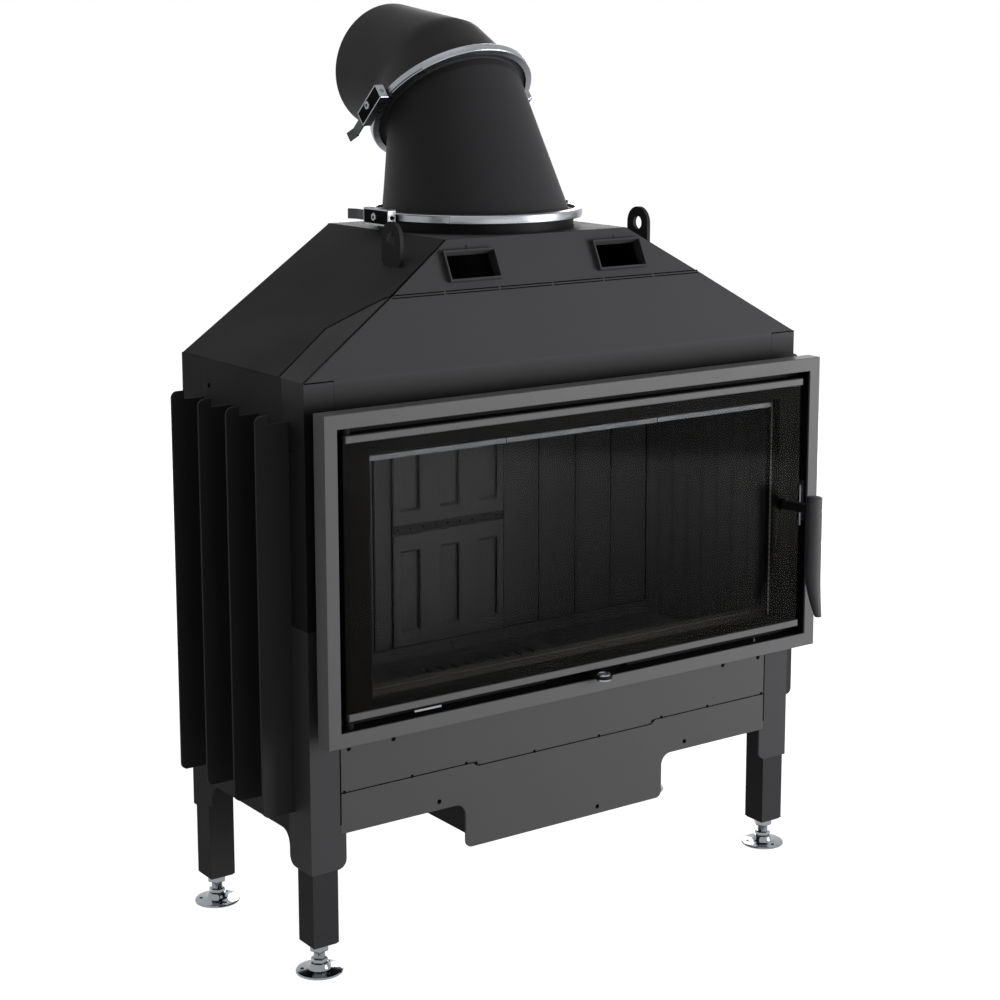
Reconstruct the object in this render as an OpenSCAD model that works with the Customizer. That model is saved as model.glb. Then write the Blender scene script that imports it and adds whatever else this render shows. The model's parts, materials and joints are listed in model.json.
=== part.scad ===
// Fireplace insert: a steel firebox in a folded jacket with a framed glass door,
// side fins, levelling feet and a swivelling flue outlet held by two band clamps.
// Depths run back from the front face of the frame, heights run up from the floor.

/* [Front frame] */
// Outside width of the front frame
frame_w = 870; // [760:5:1000]
// Outside height of the front frame
frame_h = 450; // [420:5:520]
// Width of the frame's flat border
frame_border = 20; // [15:1:26]
// Depth of the frame's outer return
frame_depth = 27; // [15:1:40]
// Thickness of the frame plate
frame_t = 3; // [2:0.5:4]
// Height of the frame's lower edge above the floor
frame_lift = 343.5; // [330:0.5:380]

/* [Body] */
// How far the frame stands past the jacket at each side
frame_lap = 3; // [2:0.5:5]
// Air space between the firebox and the rear corners
rear_air = 8; // [6:1:20]
// Distance from the frame's face back to the jacket's face
body_setback = 56; // [50:1:70]
// Thickness of the jacket sheet
sheet_t = 3; // [2:0.5:4]
// Height of the jacket's face above the frame
brow_h = 34.5; // [20:0.5:60]
// Height of the hood from the bend to its flat top
hood_h = 167; // [140:1:220]
// How far the hood's flat top stands behind the jacket's face
hood_run = 72; // [60:1:90]

/* [Lower panel and legs] */
// Height of the lower panel's straight edge above the floor
panel_lift = 200; // [180:1:230]
// Width of the apron
apron_w = 358; // [300:2:400]
// Side of the square leg tube
leg_w = 40; // [35:1:44]
// Height of the leg tube's lower end above the floor
leg_lift = 60; // [55:1:75]
// Diameter of a foot's plate
foot_d = 66; // [50:1:80]
// Diameter of a foot's spindle
spindle_d = 16; // [12:1:18]

/* [Fins] */
// Number of fins on each side
fin_count = 4; // [2:1:5]
// How far a fin stands out
fin_reach = 49; // [30:1:60]
// Thickness of a fin
fin_t = 4; // [3:0.5:6]

/* [Door] */
// Gap between the door and the frame's opening
door_gap = 12.6; // [11:0.1:14]
// Height of the bright rail at the door's top and bottom
rail_h = 10; // [8:1:14]
// Thickness of the glass
glass_t = 4; // [3:0.5:5]
// Depth of the steel door frame behind the glass
door_t = 15; // [14:1:18]
// Width of the steel door frame's bars
door_bar = 40.4; // [38:0.2:46]
// Diameter of a hinge pin
pin_d = 8; // [6:1:9]
// Length of the hanging grip
grip_len = 183; // [150:1:220]
// Diameter of the grip
grip_d = 24.6; // [20:0.2:28]
// How far the grip's axis stands in front of the frame
grip_reach = 48; // [40:1:60]

/* [Firebox] */
// Depth of the rear lining's face behind the frame
fire_depth = 365; // [350:1:370]
// How far the hearth lies below the frame's opening
hearth_drop = 39.5; // [35:0.5:45]
// Thickness of the lining slabs
liner_t = 22; // [20:1:24]
// Width of the ash grate
grate_w = 272; // [200:2:300]
// Depth of the ash grate from front to rear
grate_depth = 143; // [120:1:150]

/* [Air control] */
// Width of the air lever
lever_w = 26; // [18:1:30]
// Travel of the air lever to either side
lever_travel = 60; // [30:1:70]

/* [Flue] */
// Outside radius of the flue pipe
pipe_r = 97.5; // [90:0.5:99]
// Wall of the neck, cone and pipe
flue_wall = 3; // [2:0.5:4]
// Tilt of the swivel joint from level
swivel_tilt = 41; // [35:0.5:45]
// Distance from the flue's axis back to the swivel joint's middle
swivel_back = 64; // [55:1:75]
// Height of the swivel joint's middle above the hood's flat top
swivel_rise = 179; // [170:1:200]
// Length of the pipe behind the bend's middle
pipe_len = 147; // [120:1:200]
// Distance from the swivel joint to the bend's middle
bend_rise = 41; // [30:1:55]

/* [Hidden] */
$fn = 64;
over = 1; // overrun of every cut
gap = 0.3; // clearance between parts that move past each other
fit = 0.05; // radial clearance of a pin in its bore
arc_steps = 6; // straight steps in a rounded corner

// Heights and depths that several parts share
frame_top = frame_lift + frame_h;
open_w = frame_w - 2 * frame_border;
open_z0 = frame_lift + frame_border;
open_z1 = frame_top - frame_border;
bend_z = frame_top + brow_h;
top_z = bend_z + hood_h;
hearth_z = open_z0 - hearth_drop;
face_d = body_setback;
top_d = face_d + hood_run;

// The lining sets the firebox, and the firebox sets the jacket behind it
body_w = frame_w - 2 * frame_lap;
side_t = 4; // thickness of the side wall
side_air = 4; // air space between the side wall and the firebox
box_wall = 4;
lining_gap = 5; // space between the lining and the firebox's sides
lining_back = 4; // space behind the rear lining
slab_gap = 2; // space under the hearth slabs
roof_air = 24; // air space above the firebox
liner_drop = 28; // how far the lining ends below the frame's opening
box_w = body_w - 2 * (side_t + side_air);
fire_w = box_w - 2 * (box_wall + lining_gap + liner_t);
box_rear = fire_depth + liner_t + lining_back + box_wall;
box_z0 = hearth_z - liner_t - slab_gap - box_wall;
box_z1 = bend_z - roof_air;
rear_d = box_rear + rear_air;

// Radii of the flue, from the pipe down to the neck
neck_grow = 48.5;
cone_step = 6.5; // how far the cone's base lies inside the neck
cone_grow = 11.5;
bend_grow = 17.5;
neck_r = pipe_r + neck_grow;
cone_r = neck_r - cone_step;
cone_top_r = pipe_r + cone_grow;
bend_r = pipe_r + bend_grow;

// The flat top and the middle of the rear wall leave room for the neck
top_margin = 15;
neck_margin = 13.5;
least_bulge = 20; // least depth of the rear wall's middle behind its corners
hood_top_w = 2 * (neck_r + top_margin);
bulge_d = max(rear_d + least_bulge, top_d + 2 * (neck_r + neck_margin));
side_run = (body_w - hood_top_w) / 2;
fold_share = 98 / 167; // height of the fold across the hood, of the hood's height
fold_lean_share = 38 / 72; // depth of that fold, of the hood's run
fold_z = bend_z + fold_share * hood_h;
fold_d = face_d + fold_lean_share * hood_run;
fold_run = fold_share * side_run;
flue_d = (top_d + bulge_d) / 2;

// Surround: the box that carries the frame and joins it to the firebox
surround_t = 3;
seal_face_t = 4; // thickness of the flange that the door seals against
seal_side = 4; // how far that flange reaches inside the door frame at the sides
seal_low = 9.4; // how far it stays below the door frame's lower inner edge
seal_high = 6.1; // how far it reaches below the door frame's upper inner edge
box_front_d = face_d + sheet_t;
liner_front = box_front_d + box_wall;
surround_z0 = open_z0 - surround_t;
surround_z1 = open_z1 + surround_t;

// Corner covers, lower panel and the slots beside it
strip_w = 46.5; // width of a corner cover's front face
strip_side = 59; // width of a corner cover's side face
slot_w = 2;
slot_low = 13; // slot's lower end above the panel's edge
slot_drop = 40; // slot's upper end below the panel's top
gusset_extra = 9; // how far the gusset stands out past the cover
gusset_drop = 50; // how far the gusset reaches below the panel's edge
gusset_r = 14;
gusset_side_r = 20;
side_low = 3; // how far the side wall's edge is below the panel's edge
seam_w = 2.5; // half the open seam along the hood's edges
flap_seam = 3.5; // open seam between the flap and the hood's front
flap_run_share = 0.33; // first corner of the flap's seam, of the side run
flap_back = 92; // its depth behind the face
flap_low_back = 65; // depth of the seam's lower end behind the face
flap_mid_share = 0.52; // second corner of the flap's seam, of the side run
flap_mid_back = 60; // its depth behind the face
bolt_r = 4;
bolt_front = 82; // side bolt's distance from the rear corner
bolt_low = 38; // side bolt's height below the bend
notch_len = 24; // small slanted slot in the corner cover
notch_lean = 12;
notch_back = 30;
notch_low = 94;
apron_r = 10;
apron_fillet = 17;
seam_z = 58; // perforated seam above the panel's edge
seam_step = 6; // how much lower the seam runs over the apron
seam_cut = 1.2; // width of the perforated seam
seam_bridge = 3; // metal left between two cuts
seam_slope = 8; // width of the seam's slanted step
seam_depth = 1.2; // depth of the seam in the sheet
panel_half = body_w / 2 - strip_w;
panel_top = surround_z0 - gap;
seam_half = 0.41 * panel_half; // half the length of the seam's lower stretch
seam_shares = [0.153, 0.418, 0.462, 0.698, 0.983]; // the seam's dots, of half the panel
dot_r = 2;
hole_r = 3.5;
hole_up = 12; // lower holes above the panel's edge
hole_beside = 45; // lower holes beside the apron
hole_drop = 41; // upper holes below the panel's top
hole_end = 14.5; // upper holes from the panel's end
hole_mid = 86.5;
apron_hole_x = 57;
apron_hole_up = 11;

// Fins
fin_first = 42; // first fin behind the jacket's face
fin_last = 63.5; // last fin in front of the rear corner
fin_pitch = (rear_d - face_d - fin_first - fin_last) / max(fin_count - 1, 1);
fin_low = 30; // lower end above the panel's edge
fin_high = 45; // upper end below the bend
fin_step_h = 12; // height of the hook at the upper end
fin_step_w = 19; // width of that hook
fin_r = 9;

// Air outlets and lifting eyes
outlet_w = 88;
outlet_h = 46;
outlet_wall = 3;
outlet_stand = 7; // how far an outlet stands out of the hood
outlet_sink = 10; // how far it reaches inside
outlet_x = 130;
outlet_share = 0.47; // place up the upper slope
mark_w = 2;
mark_h = 8;
eye_x = 219;
eye_back = 117; // eye's middle behind the jacket's face
eye_w = 48;
eye_t = 6;
eye_hole_r = 10;
eye_rise = 34; // hole's middle above the slope
eye_tab = 42; // width of the tab through the hood
eye_tab_drop = 16;

// Door
door_x = open_w / 2 - door_gap;
door_low = 1.2; // how much more room the door has below
door_high = 2.4; // how much less room it has above
door_z0 = open_z0 + door_gap + door_low;
door_z1 = open_z1 - door_gap + door_high;
rail_d = 1; // depth of the rail's face behind the frame's face
rail_t = 8;
glass_set = 3; // depth of the glass behind the rail's face
glass_d = rail_d + glass_set;
tape_t = 1; // tape between the glass and the door frame
bar_d = glass_d + glass_t + tape_t;
door_in_x = door_x - door_bar;
bar_low = 10.1; // door frame's lower bar past the rail
bar_high = 18.2; // door frame's upper bar past the rail
door_in_z0 = door_z0 + rail_h + bar_low;
door_in_z1 = door_z1 - rail_h - bar_high;
seal_gap = 4; // space for the rope between the door frame and the flange
seal_face_d = bar_d + door_t + seal_gap;
seal_x = door_in_x - seal_side;
seal_z0 = door_in_z0 - seal_low;
seal_z1 = door_in_z1 - seal_high;
rope_w = 5; // door rope's width
rope_low = 1; // rope's lower run below the flange's edge
hinge_in = 8.3; // hinge pin from the door's edge
pin_set = 7; // hinge pin behind the door frame's face
hinge_x = hinge_in - door_x;
hinge_d = bar_d + pin_set;
hinge_bore = 18; // depth of a hinge bore in the door frame
collar_r = 7;
shaft_d = 9;
shaft_in = 6; // shaft's distance from the rope
shaft_up = 1.7; // shaft above the door's middle
shaft_x = door_in_x + rope_w + shaft_in;
shaft_z = (door_z0 + door_z1) / 2 + shaft_up;
boss_r = 9;
boss_t = 4.7;
arm_w = 12;
arm_h = 13;
grip_side = 11; // grip's axis right of the shaft
grip_x = shaft_x + grip_side;
grip_above = 20; // grip's top above the shaft
grip_tip_r = 5.4;
grip_tip_lean = 14; // how far the grip's tip leans forward
grip_shares = [0.66, 0.9, 1]; // stations down the grip's curved end
grip_lean_shares = [0, 0.68, 1];
grip_r_shares = [1, 0.6, 0.44];
groove_r = 0.8;
grip_cap = 2.4; // height of the bevelled cap
grip_bevel = 1.6;
groove_drops = [21, 71]; // grooves below the grip's top
cam_t = 3;
cam_w = 10;
cam_reach = 35;
cam_d = bar_d + door_t + gap;
latch_h = 62;
latch_w = 16;
latch_t = 3;
catch_w = 18;
catch_t = 3;
catch_r = 2.4;

// Air control
lever_x = 14; // rest place of the lever, right of the middle
lever_t = 4;
lever_hold = 13; // lever's end behind the slide's front edge
lever_z = open_z0 + lever_t;
slide_w = 240;
slide_t = lever_t - 2 * gap;
knob_r = 11;
knob_clear = 1; // knob's clear distance from the frame's face
knob_h = lever_t - gap;
lever_front = knob_r + knob_clear;
knob_pin_r = 5;
knob_rim = 2.4;
port_w = 30;
port_pitch = 60;
port_count = 3;
port_in = 4; // port's edge from the slide's edge

// Firebox shell, lining and hearth
liner_top = open_z1 - liner_drop;
floor_ledge_h = 15.5; // rise of the slab's edge at the rear wall
floor_ledge_w = 12;
tile_w = 241;
groove_w = 6;
groove_t = 3;
groove_pitch = 75;
centre_w = 207; // width of the middle rear plates
bar_z = 201; // air bar's middle above the hearth
bar_h = 15;
bar_back = 3; // how far the air bar lies behind the plates
bar_hole_r = 2;
bar_hole_pitch = 23;
bar_holes = 9;
field_w = 37; // raised fields of the middle plates
field_pitch = 73;
field_t = 2.5;
field_margin = 20; // field's edge above or below the air bar's edge
field_low = 38; // lower field's edge above the hearth
sill_gap = 8; // sill's front behind the seal flange's face
sill_step = 3; // sill's foot behind the lining's front
sill_h = 69;
sill_foot = 17;
sill_front = seal_face_d + sill_gap;
sill_back = liner_front + sill_step + sill_foot;
sill_lift = 9; // clear height under the sill's front for the air slide
sill_drop = 13;
lip_h = 7;
lip_t = 8;
lip_end = 2; // clear space at each end of the lip
lip_w = 2 * (seal_x - lip_end);
lip_joint = 134;
lip_gap = 1.5;
baffle_t = 25;
baffle_front = 150;
baffle_joint = 1;
grate_off = 42; // grate's rear edge in front of the rear lining
grate_back = fire_depth - grate_off;
grate_t = 12;
grate_rim = 28;
grate_slot = 9;
grate_slots = 9;
pit_h = 52;
pit_rim = 8; // ledge that the grate rests on
pan_wall = 1.5;
pan_h = 44;
pan_clear = 4;

// Air box
air_low = 22; // air box's bottom above the apron's edge
air_wall = 2;
intake_r = 62;
intake_len = 50;
intake_margin = 8.5; // air box past the intake, below and above
hose_room = 20; // room for the hose in the rear wall
air_z0 = box_z0 - 2 * (intake_r + intake_margin);
air_d1 = grate_back + pit_rim;
intake_z = (air_z0 + box_z0) / 2;
apron_lift = air_z0 - air_low;

// Legs and feet
cap_h = 18;
cap_r = 2;
leg_wall = 3;
leg_in = sheet_t;
foot_t = 4;
foot_rise = 1; // rise of the plate towards its hub
hub_foot = 7; // hub's foot past the spindle
hub_top = 4; // hub's upper edge past the spindle
foot_hub_r = spindle_d / 2 + hub_foot;
foot_hub_h = 14;
foot_nut_r = 14;
foot_nut_h = 8;
foot_hole_r = 2.5;
foot_hole_pcd = foot_d / 2 + foot_hub_r;
foot_holes = 3;
foot_hole_turn = 30;
spindle_in = 45; // spindle above the leg's lower end

// Flue, flanges and clamps
flange_t = 3;
rim_out = 8; // lower flange past the neck
collar_out = 15; // upper flange past the cone's upper end
neck_rise = 18; // neck's flange above the hood's top
band_h = 14;
band_edge = 2; // inward slant of the band's legs
strap_t = 1.5;
strap_angle = 34;
strap_start = 8;
band_leg = 5.5; // how far the band's legs reach in past the flange's rim
rim_gap = 4.5; // radial space between a flange's rim and the band
clip_back = 35; // closure's reach behind the clamp's middle
clip_front = 32; // its reach in front of the middle
clip_w = 14;
clip_h = 30;
clip_wall = 3;
clip_len = 34;
leaf_t = 2.25;
hook_len = 12; // half the length of the hook plate
barrel_r = 6;
barrel_set = 4.8; // barrel's axis outside its leaf
barrel_y = 5;
bolt_len_r = 3.5;
lever_plate_t = 2.5;
lever_plate_w = 15;
lever_plate_len = 26;
lever_tip = 14;
lever_bent = 30;
lever_pin_r = 3;
base_flange_z = top_z + neck_rise;
swivel_d = flue_d + swivel_back;
swivel_z = top_z + swivel_rise;
swivel_neck = 17; // from the swivel joint to the cone's upper end
pipe_elev = 90 - 2 * swivel_tilt;
pipe_part_share = 0.42; // where the bend ends and the plain pipe begins, of its length
collar_r2 = cone_top_r + collar_out;
lower_rim = neck_r + rim_out;
shell_sides = 64; // flat sides of a shell between two leaning circles
bury = 0.8; // how far a shell's edge lies inside the ring it joins
neck_drop = 50; // where the neck's straight part begins, below the hood's top
neck_foot = 4.5; // clear space between the neck's foot and the firebox's rear wall
neck_foot_d = box_rear - box_wall - neck_foot - (neck_r - flue_wall);

// The part stands centred over the origin between the grip's tip and the pipe's end
grip_front = grip_reach + grip_tip_lean + grip_tip_r;
swivel_axis = [0, sin(swivel_tilt), cos(swivel_tilt)];
pipe_axis = [0, cos(pipe_elev), sin(pipe_elev)];
bend_at = [0, swivel_d, swivel_z] + bend_rise * swivel_axis;
pipe_end = bend_at[1] + pipe_len * cos(pipe_elev) + pipe_r * sin(pipe_elev);
taper = acos(pipe_r / norm([bend_r, bend_rise])) - atan2(bend_rise, bend_r);
front_y = (grip_front - pipe_end) / 2;

// Helpers
module placed() translate([0, front_y, 0]) children();
module mirrored() mirror([1, 0, 0]) children();
module both_sides() {
    children();
    mirrored() children();
}
module block(low, high) translate(low) cube(high - low);
// A flat sheet drawn in x and z, from depth d back by t
module wall_xz(d, t) translate([0, d + t, 0]) rotate([90, 0, 0]) linear_extrude(t) children();
// A flat sheet drawn in depth and z, from x to the right by t
module wall_yz(x, t) translate([x, 0, 0]) rotate([90, 0, 90]) linear_extrude(t) children();
module rod_y(x, z, r, d0, d1) translate([x, d0, z]) rotate([-90, 0, 0]) cylinder(r = r, h = d1 - d0);
module rod_z(x, d, r, z0, z1) translate([x, d, z0]) cylinder(r = r, h = z1 - z0);
function unit(v) = v / norm(v);
function arc(c, r, a0, a1) = [for (i = [0:arc_steps])
    let (a = a0 + (a1 - a0) * i / arc_steps) c + r * [cos(a), sin(a)]];
// A flat plate of any outline in space, t thick, behind its outer face. Where its edge
// lies at the height level, it is cut level, so that it stands on the wall below.
module sheet(pts, t, level = undef) {
    n = len(pts);
    out = unit(cross(pts[1] - pts[0], pts[2] - pts[1]));
    flat = [out[0], out[1], 0];
    back = [for (p = pts) p[2] == level ? p - t * flat / (flat * flat) : p - t * out];
    sides = [for (i = [0:n - 1]) for (half = [0, 1])
        let (j = (i + 1) % n) half == 0 ? [i, j, n + j] : [i, n + j, n + i]];
    front = [[for (i = [n - 1:-1:0]) i]];
    rear = [[for (i = [0:n - 1]) n + i]];
    polyhedron(concat(pts, back), concat(front, rear, sides));
}
// A point on the left slope of the hood, by its run inwards and its depth
function on_slope(run, d) = [-body_w / 2 + run, d, bend_z + run * hood_h / side_run];
function edge_d(run) = run < fold_run
    ? face_d + (fold_d - face_d) * run / fold_run
    : fold_d + (top_d - fold_d) * (run - fold_run) / (side_run - fold_run);

// Jacket
module side_wall() {
    low = panel_lift - side_low;
    front = face_d + strip_side + gap;
    back = rear_d - strip_side - gap;
    r = gusset_side_r;
    difference() {
        wall_yz(-body_w / 2, side_t) polygon(concat(
            [[front, bend_z - gap], [front, low - r]],
            arc([front + r, low - r], r, 180, 90), arc([back - r, low - r], r, 90, 0),
            [[back, bend_z - gap]]));
        translate([-body_w / 2 - over, rear_d - bolt_front, bend_z - bolt_low])
            rotate([0, 90, 0]) cylinder(r = bolt_r, h = side_t + 2 * over);
    }
}
module side_wall_left() color("#2f2f31") placed() side_wall();
module side_wall_right() color("#2f2f31") placed() mirrored() side_wall();

module cover_front() {
    x = -body_w / 2;
    low = panel_lift - gusset_drop;
    in = x + strip_w;
    toe = in + gusset_extra;
    wall_xz(face_d, sheet_t) polygon(concat(
        [[x, low], [toe - gusset_r, low]],
        arc([toe - gusset_r, low + gusset_r], gusset_r, -90, 0),
        [[toe, panel_lift - gap], [in - gap, panel_lift - gap], [in - gap, surround_z0 - gap],
        [-open_w / 2 - surround_t - gap, surround_z0 - gap],
        [-open_w / 2 - surround_t - gap, surround_z1 + gap],
        [in - gap, surround_z1 + gap], [in - gap, bend_z - gap], [x, bend_z - gap]]));
}
module cover_side(depth0, depth1, toe_r, top) {
    low = panel_lift - gusset_drop;
    wall_yz(-body_w / 2, sheet_t) polygon(concat(
        [[depth0, low]], arc([depth1 - toe_r, low + toe_r], toe_r, -90, 0),
        [[depth1, top], [depth0, top]]));
}
module corner_cover() {
    e = face_d + flap_seam;
    cover_front();
    difference() {
        cover_side(face_d, face_d + strip_side, gusset_r, bend_z);
        translate([-body_w / 2 - over, face_d + notch_back, bend_z - notch_low])
            rotate([-notch_lean, 0, 0]) cube([sheet_t + 2 * over, notch_len, slot_w]);
    }
    sheet([on_slope(0, face_d + flap_low_back), on_slope(0, e),
        on_slope(fold_run, fold_d + flap_seam),
        on_slope(flap_mid_share * side_run, face_d + flap_mid_back),
        on_slope(flap_run_share * side_run, face_d + flap_back)], sheet_t, bend_z);
}
module corner_cover_left() color("#3a3a3c") placed() corner_cover();
module corner_cover_right() color("#3a3a3c") placed() mirrored() corner_cover();

module rear_corners() color("#2f2f31") placed() both_sides() {
    low = panel_lift - gusset_drop;
    x = -body_w / 2;
    difference() {
        cover_side(rear_d - strip_side, rear_d, gap, bend_z - gap);
        block([x - over, rear_d - strip_side - over, low - over],
            [x + sheet_t + over, rear_d - strip_side + gusset_r - sheet_t, low + gusset_r - sheet_t]);
    }
    block([x, rear_d - sheet_t, low], [x + strip_w, rear_d, panel_lift - side_low - gap]);
}

module hood_slope(run0, run1, d0, d1) {
    z0 = on_slope(run0, 0)[2];
    z1 = on_slope(run1, 0)[2];
    x0 = body_w / 2 - run0 - seam_w;
    x1 = body_w / 2 - run1 - seam_w;
    sheet([[-x0, d0, z0], [x0, d0, z0], [x1, d1, z1], [-x1, d1, z1]], sheet_t, bend_z);
}
module on_upper_slope(share) {
    lean = atan2(top_z - fold_z, top_d - fold_d);
    translate([0, fold_d + share * (top_d - fold_d), fold_z + share * (top_z - fold_z)])
        rotate([lean, 0, 0]) children();
}
module outlet_hole() translate([outlet_x, 0, 0])
    cube([outlet_w, outlet_h, 4 * outlet_sink], center = true);
module hood_front() color("#4a4a4c") placed() difference() {
    union() {
        brow_x = body_w / 2 - strip_w;
        block([-brow_x, face_d, surround_z1 + gap], [brow_x, face_d + sheet_t, bend_z]);
        hood_slope(0, fold_run, face_d, fold_d);
        hood_slope(fold_run, side_run, fold_d, top_d);
    }
    on_upper_slope(outlet_share) both_sides() outlet_hole();
    for (x = [-outlet_x, outlet_x]) on_upper_slope(outlet_share)
        translate([x - mark_w / 2, outlet_h / 2, -over]) cube([mark_w, mark_h, 2 * over]);
}

module hood_top() color("#4a4a4c") placed() difference() {
    top_x = hood_top_w / 2 - seam_w;
    block([-top_x, top_d + sheet_t + gap, top_z - sheet_t], [top_x, bulge_d - sheet_t - gap, top_z]);
    rod_z(0, flue_d, neck_r, top_z - sheet_t - over, top_z + over);
}

module hood_side() {
    s = seam_w;
    difference() {
        sheet([on_slope(0, rear_d - sheet_t - gap), on_slope(0, face_d + flap_low_back + s),
            on_slope(flap_run_share * side_run, face_d + flap_back + s),
            on_slope(flap_mid_share * side_run, face_d + flap_mid_back + s),
            on_slope(fold_run + s, fold_d + 2 * s), on_slope(side_run, top_d + s),
            on_slope(side_run, bulge_d - sheet_t - gap)], sheet_t, bend_z);
        block([-eye_x - eye_t / 2 - gap, face_d + eye_back - eye_tab / 2 - gap, bend_z],
            [-eye_x + eye_t / 2 + gap, face_d + eye_back + eye_tab / 2 + gap, top_z]);
    }
}
module hood_side_left() color("#303032") placed() hood_side();
module hood_side_right() color("#303032") placed() mirrored() hood_side();

module rear_wall() color("#2c2c2e") placed() {
    low = panel_lift - side_low;
    x0 = body_w / 2 - sheet_t - gap;
    x1 = hood_top_w / 2;
    d1 = bulge_d;
    d0 = rear_d;
    z0 = bend_z - 2 * sheet_t;
    z1 = top_z - gap;
    difference() {
        sheet([[x1, d1, low], [-x1, d1, low], [-x1, d1, z1], [x1, d1, z1]], sheet_t);
        rod_y(0, intake_z, intake_r + hose_room, d1 - sheet_t - over, d1 + over);
    }
    both_sides() sheet([[-x1, d1, low], [-x0, d0, low], [-x0, d0, z0], [-x1, d1, z1 - sheet_t]],
        sheet_t);
}

// Lower panel: straight edge, apron, slots, perforated seam and screw holes
function panel_outline(s) = concat(
    [[s * panel_half, panel_top], [s * panel_half, panel_lift]],
    [for (p = arc([apron_w / 2 + apron_fillet, panel_lift - apron_fillet], apron_fillet, 90, 180))
        [s * p[0], p[1]]],
    [for (p = arc([apron_w / 2 - apron_r, apron_lift + apron_r], apron_r, 0, -90))
        [s * p[0], p[1]]]);
function reversed(v) = [for (i = [len(v) - 1:-1:0]) v[i]];
module seam_cutter(a, b) {
    along = unit(b - a);
    turn = atan2(along[1], along[0]);
    translate([a[0], face_d - over, panel_lift + a[1] - seam_cut / 2]) rotate([0, -turn, 0])
        cube([norm(b - a) - seam_bridge, over + seam_depth, seam_cut]);
}
module panel_hole(x, z) rod_y(x, z, hole_r, face_d - over, face_d + sheet_t + over);
module lower_panel() color("#555557") placed() difference() {
    wall_xz(face_d, sheet_t) polygon(concat(panel_outline(1), reversed(panel_outline(-1))));
    both_sides() {
        block([panel_half - slot_w, face_d - over, panel_lift + slot_low],
            [panel_half + over, face_d + sheet_t + over, panel_top - slot_drop]);
        panel_hole(apron_w / 2 + hole_beside, panel_lift + hole_up);
        panel_hole(panel_half - hole_mid, panel_top - hole_drop);
        panel_hole(panel_half - hole_end, panel_top - hole_drop);
    }
    panel_hole(apron_hole_x, apron_lift + apron_hole_up);
    low = seam_z - seam_step;
    seam_ends = seam_shares * panel_half;
    both_sides() {
        seam_cutter([0, low], [seam_ends[0], low]);
        seam_cutter([seam_ends[0], low], [seam_half, low]);
        seam_cutter([seam_half - seam_slope / 2, low], [seam_half + seam_slope / 2, seam_z]);
        for (i = [1:len(seam_ends) - 2])
            seam_cutter([seam_ends[i], seam_z], [seam_ends[i + 1], seam_z]);
        for (x = seam_ends)
            rod_y(x, panel_lift + (x < seam_half ? low : seam_z), dot_r,
                face_d - over, face_d + seam_depth);
    }
}

module air_outlets() color("#434345") placed() on_upper_slope(outlet_share) both_sides()
    translate([outlet_x, 0, (outlet_stand - outlet_sink) / 2]) difference() {
        cube([outlet_w - 2 * gap, outlet_h - 2 * gap, outlet_stand + outlet_sink], center = true);
        cube([outlet_w - 2 * outlet_wall, outlet_h - 2 * outlet_wall, 4 * outlet_sink],
            center = true);
    }

module lifting_eyes() color("#38383a") placed() both_sides() {
    base = on_slope(body_w / 2 - eye_x, 0)[2] + eye_t / 2;
    mid = face_d + eye_back;
    top = base + eye_rise;
    difference() {
        union() {
            wall_yz(-eye_x - eye_t / 2, eye_t) polygon(concat(
                [[mid - eye_w / 2, base], [mid + eye_w / 2, base]],
                arc([mid, top], eye_w / 2, 0, 60), arc([mid, top], eye_w / 2, 60, 120),
                arc([mid, top], eye_w / 2, 120, 180)));
            block([-eye_x - eye_t / 2, mid - eye_tab / 2, base - eye_tab_drop],
                [-eye_x + eye_t / 2, mid + eye_tab / 2, base]);
        }
        translate([-eye_x - eye_t, mid, top]) rotate([0, 90, 0])
            cylinder(r = eye_hole_r, h = 2 * eye_t);
    }
}

module fins() {
    x0 = -body_w / 2;
    x1 = x0 - fin_reach;
    z0 = panel_lift + fin_low;
    z1 = bend_z - fin_high;
    for (i = [0:fin_count - 1])
        wall_xz(face_d + fin_first + i * fin_pitch, fin_t) polygon(concat(
            [[x0, z0]], arc([x1 + fin_r, z0 + fin_r], fin_r, 270, 180),
            arc([x1 + fin_r, z1 - fin_r], fin_r, 180, 90),
            [[x1 + fin_step_w, z1], [x1 + fin_step_w, z1 - fin_step_h], [x0, z1 - fin_step_h]]));
}
module fins_left() color("#1c1c1e") placed() fins();
module fins_right() color("#1c1c1e") placed() mirrored() fins();

// Front frame and the box behind it
module front_frame() color("#666668") placed() {
    x = frame_w / 2;
    difference() {
        block([-x, 0, frame_lift], [x, frame_depth, frame_top]);
        block([-x + frame_t, frame_t, frame_lift + frame_t],
            [x - frame_t, frame_depth + over, frame_top - frame_t]);
        block([-open_w / 2, -over, open_z0], [open_w / 2, frame_depth, open_z1]);
    }
}
module surround() color("#1a1a1c") placed() difference() {
    x = open_w / 2;
    t = surround_t;
    block([-x - t, frame_t, surround_z0], [x + t, liner_front, surround_z1]);
    block([-x, frame_t - over, open_z0], [x, liner_front + over, open_z1]);
    for (i = [0:port_count - 1])
        block([(i - (port_count - 1) / 2) * port_pitch - port_w / 2, sill_front + port_in,
            surround_z0 - over],
            [(i - (port_count - 1) / 2) * port_pitch + port_w / 2, face_d - port_in,
            open_z0 + over]);
}
module seal_flange() color("#161617") placed() difference() {
    x = open_w / 2;
    block([-x, seal_face_d, open_z0], [x, seal_face_d + seal_face_t, open_z1]);
    block([-seal_x, seal_face_d - over, seal_z0],
        [seal_x, seal_face_d + seal_face_t + over, seal_z1]);
    block([lever_x - lever_w / 2 - lever_travel - 2 * gap, seal_face_d - over, open_z0 - over],
        [lever_x + lever_w / 2 + lever_travel + 2 * gap, seal_face_d + seal_face_t + over,
        lever_z + lever_t + 2 * gap]);
}

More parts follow.
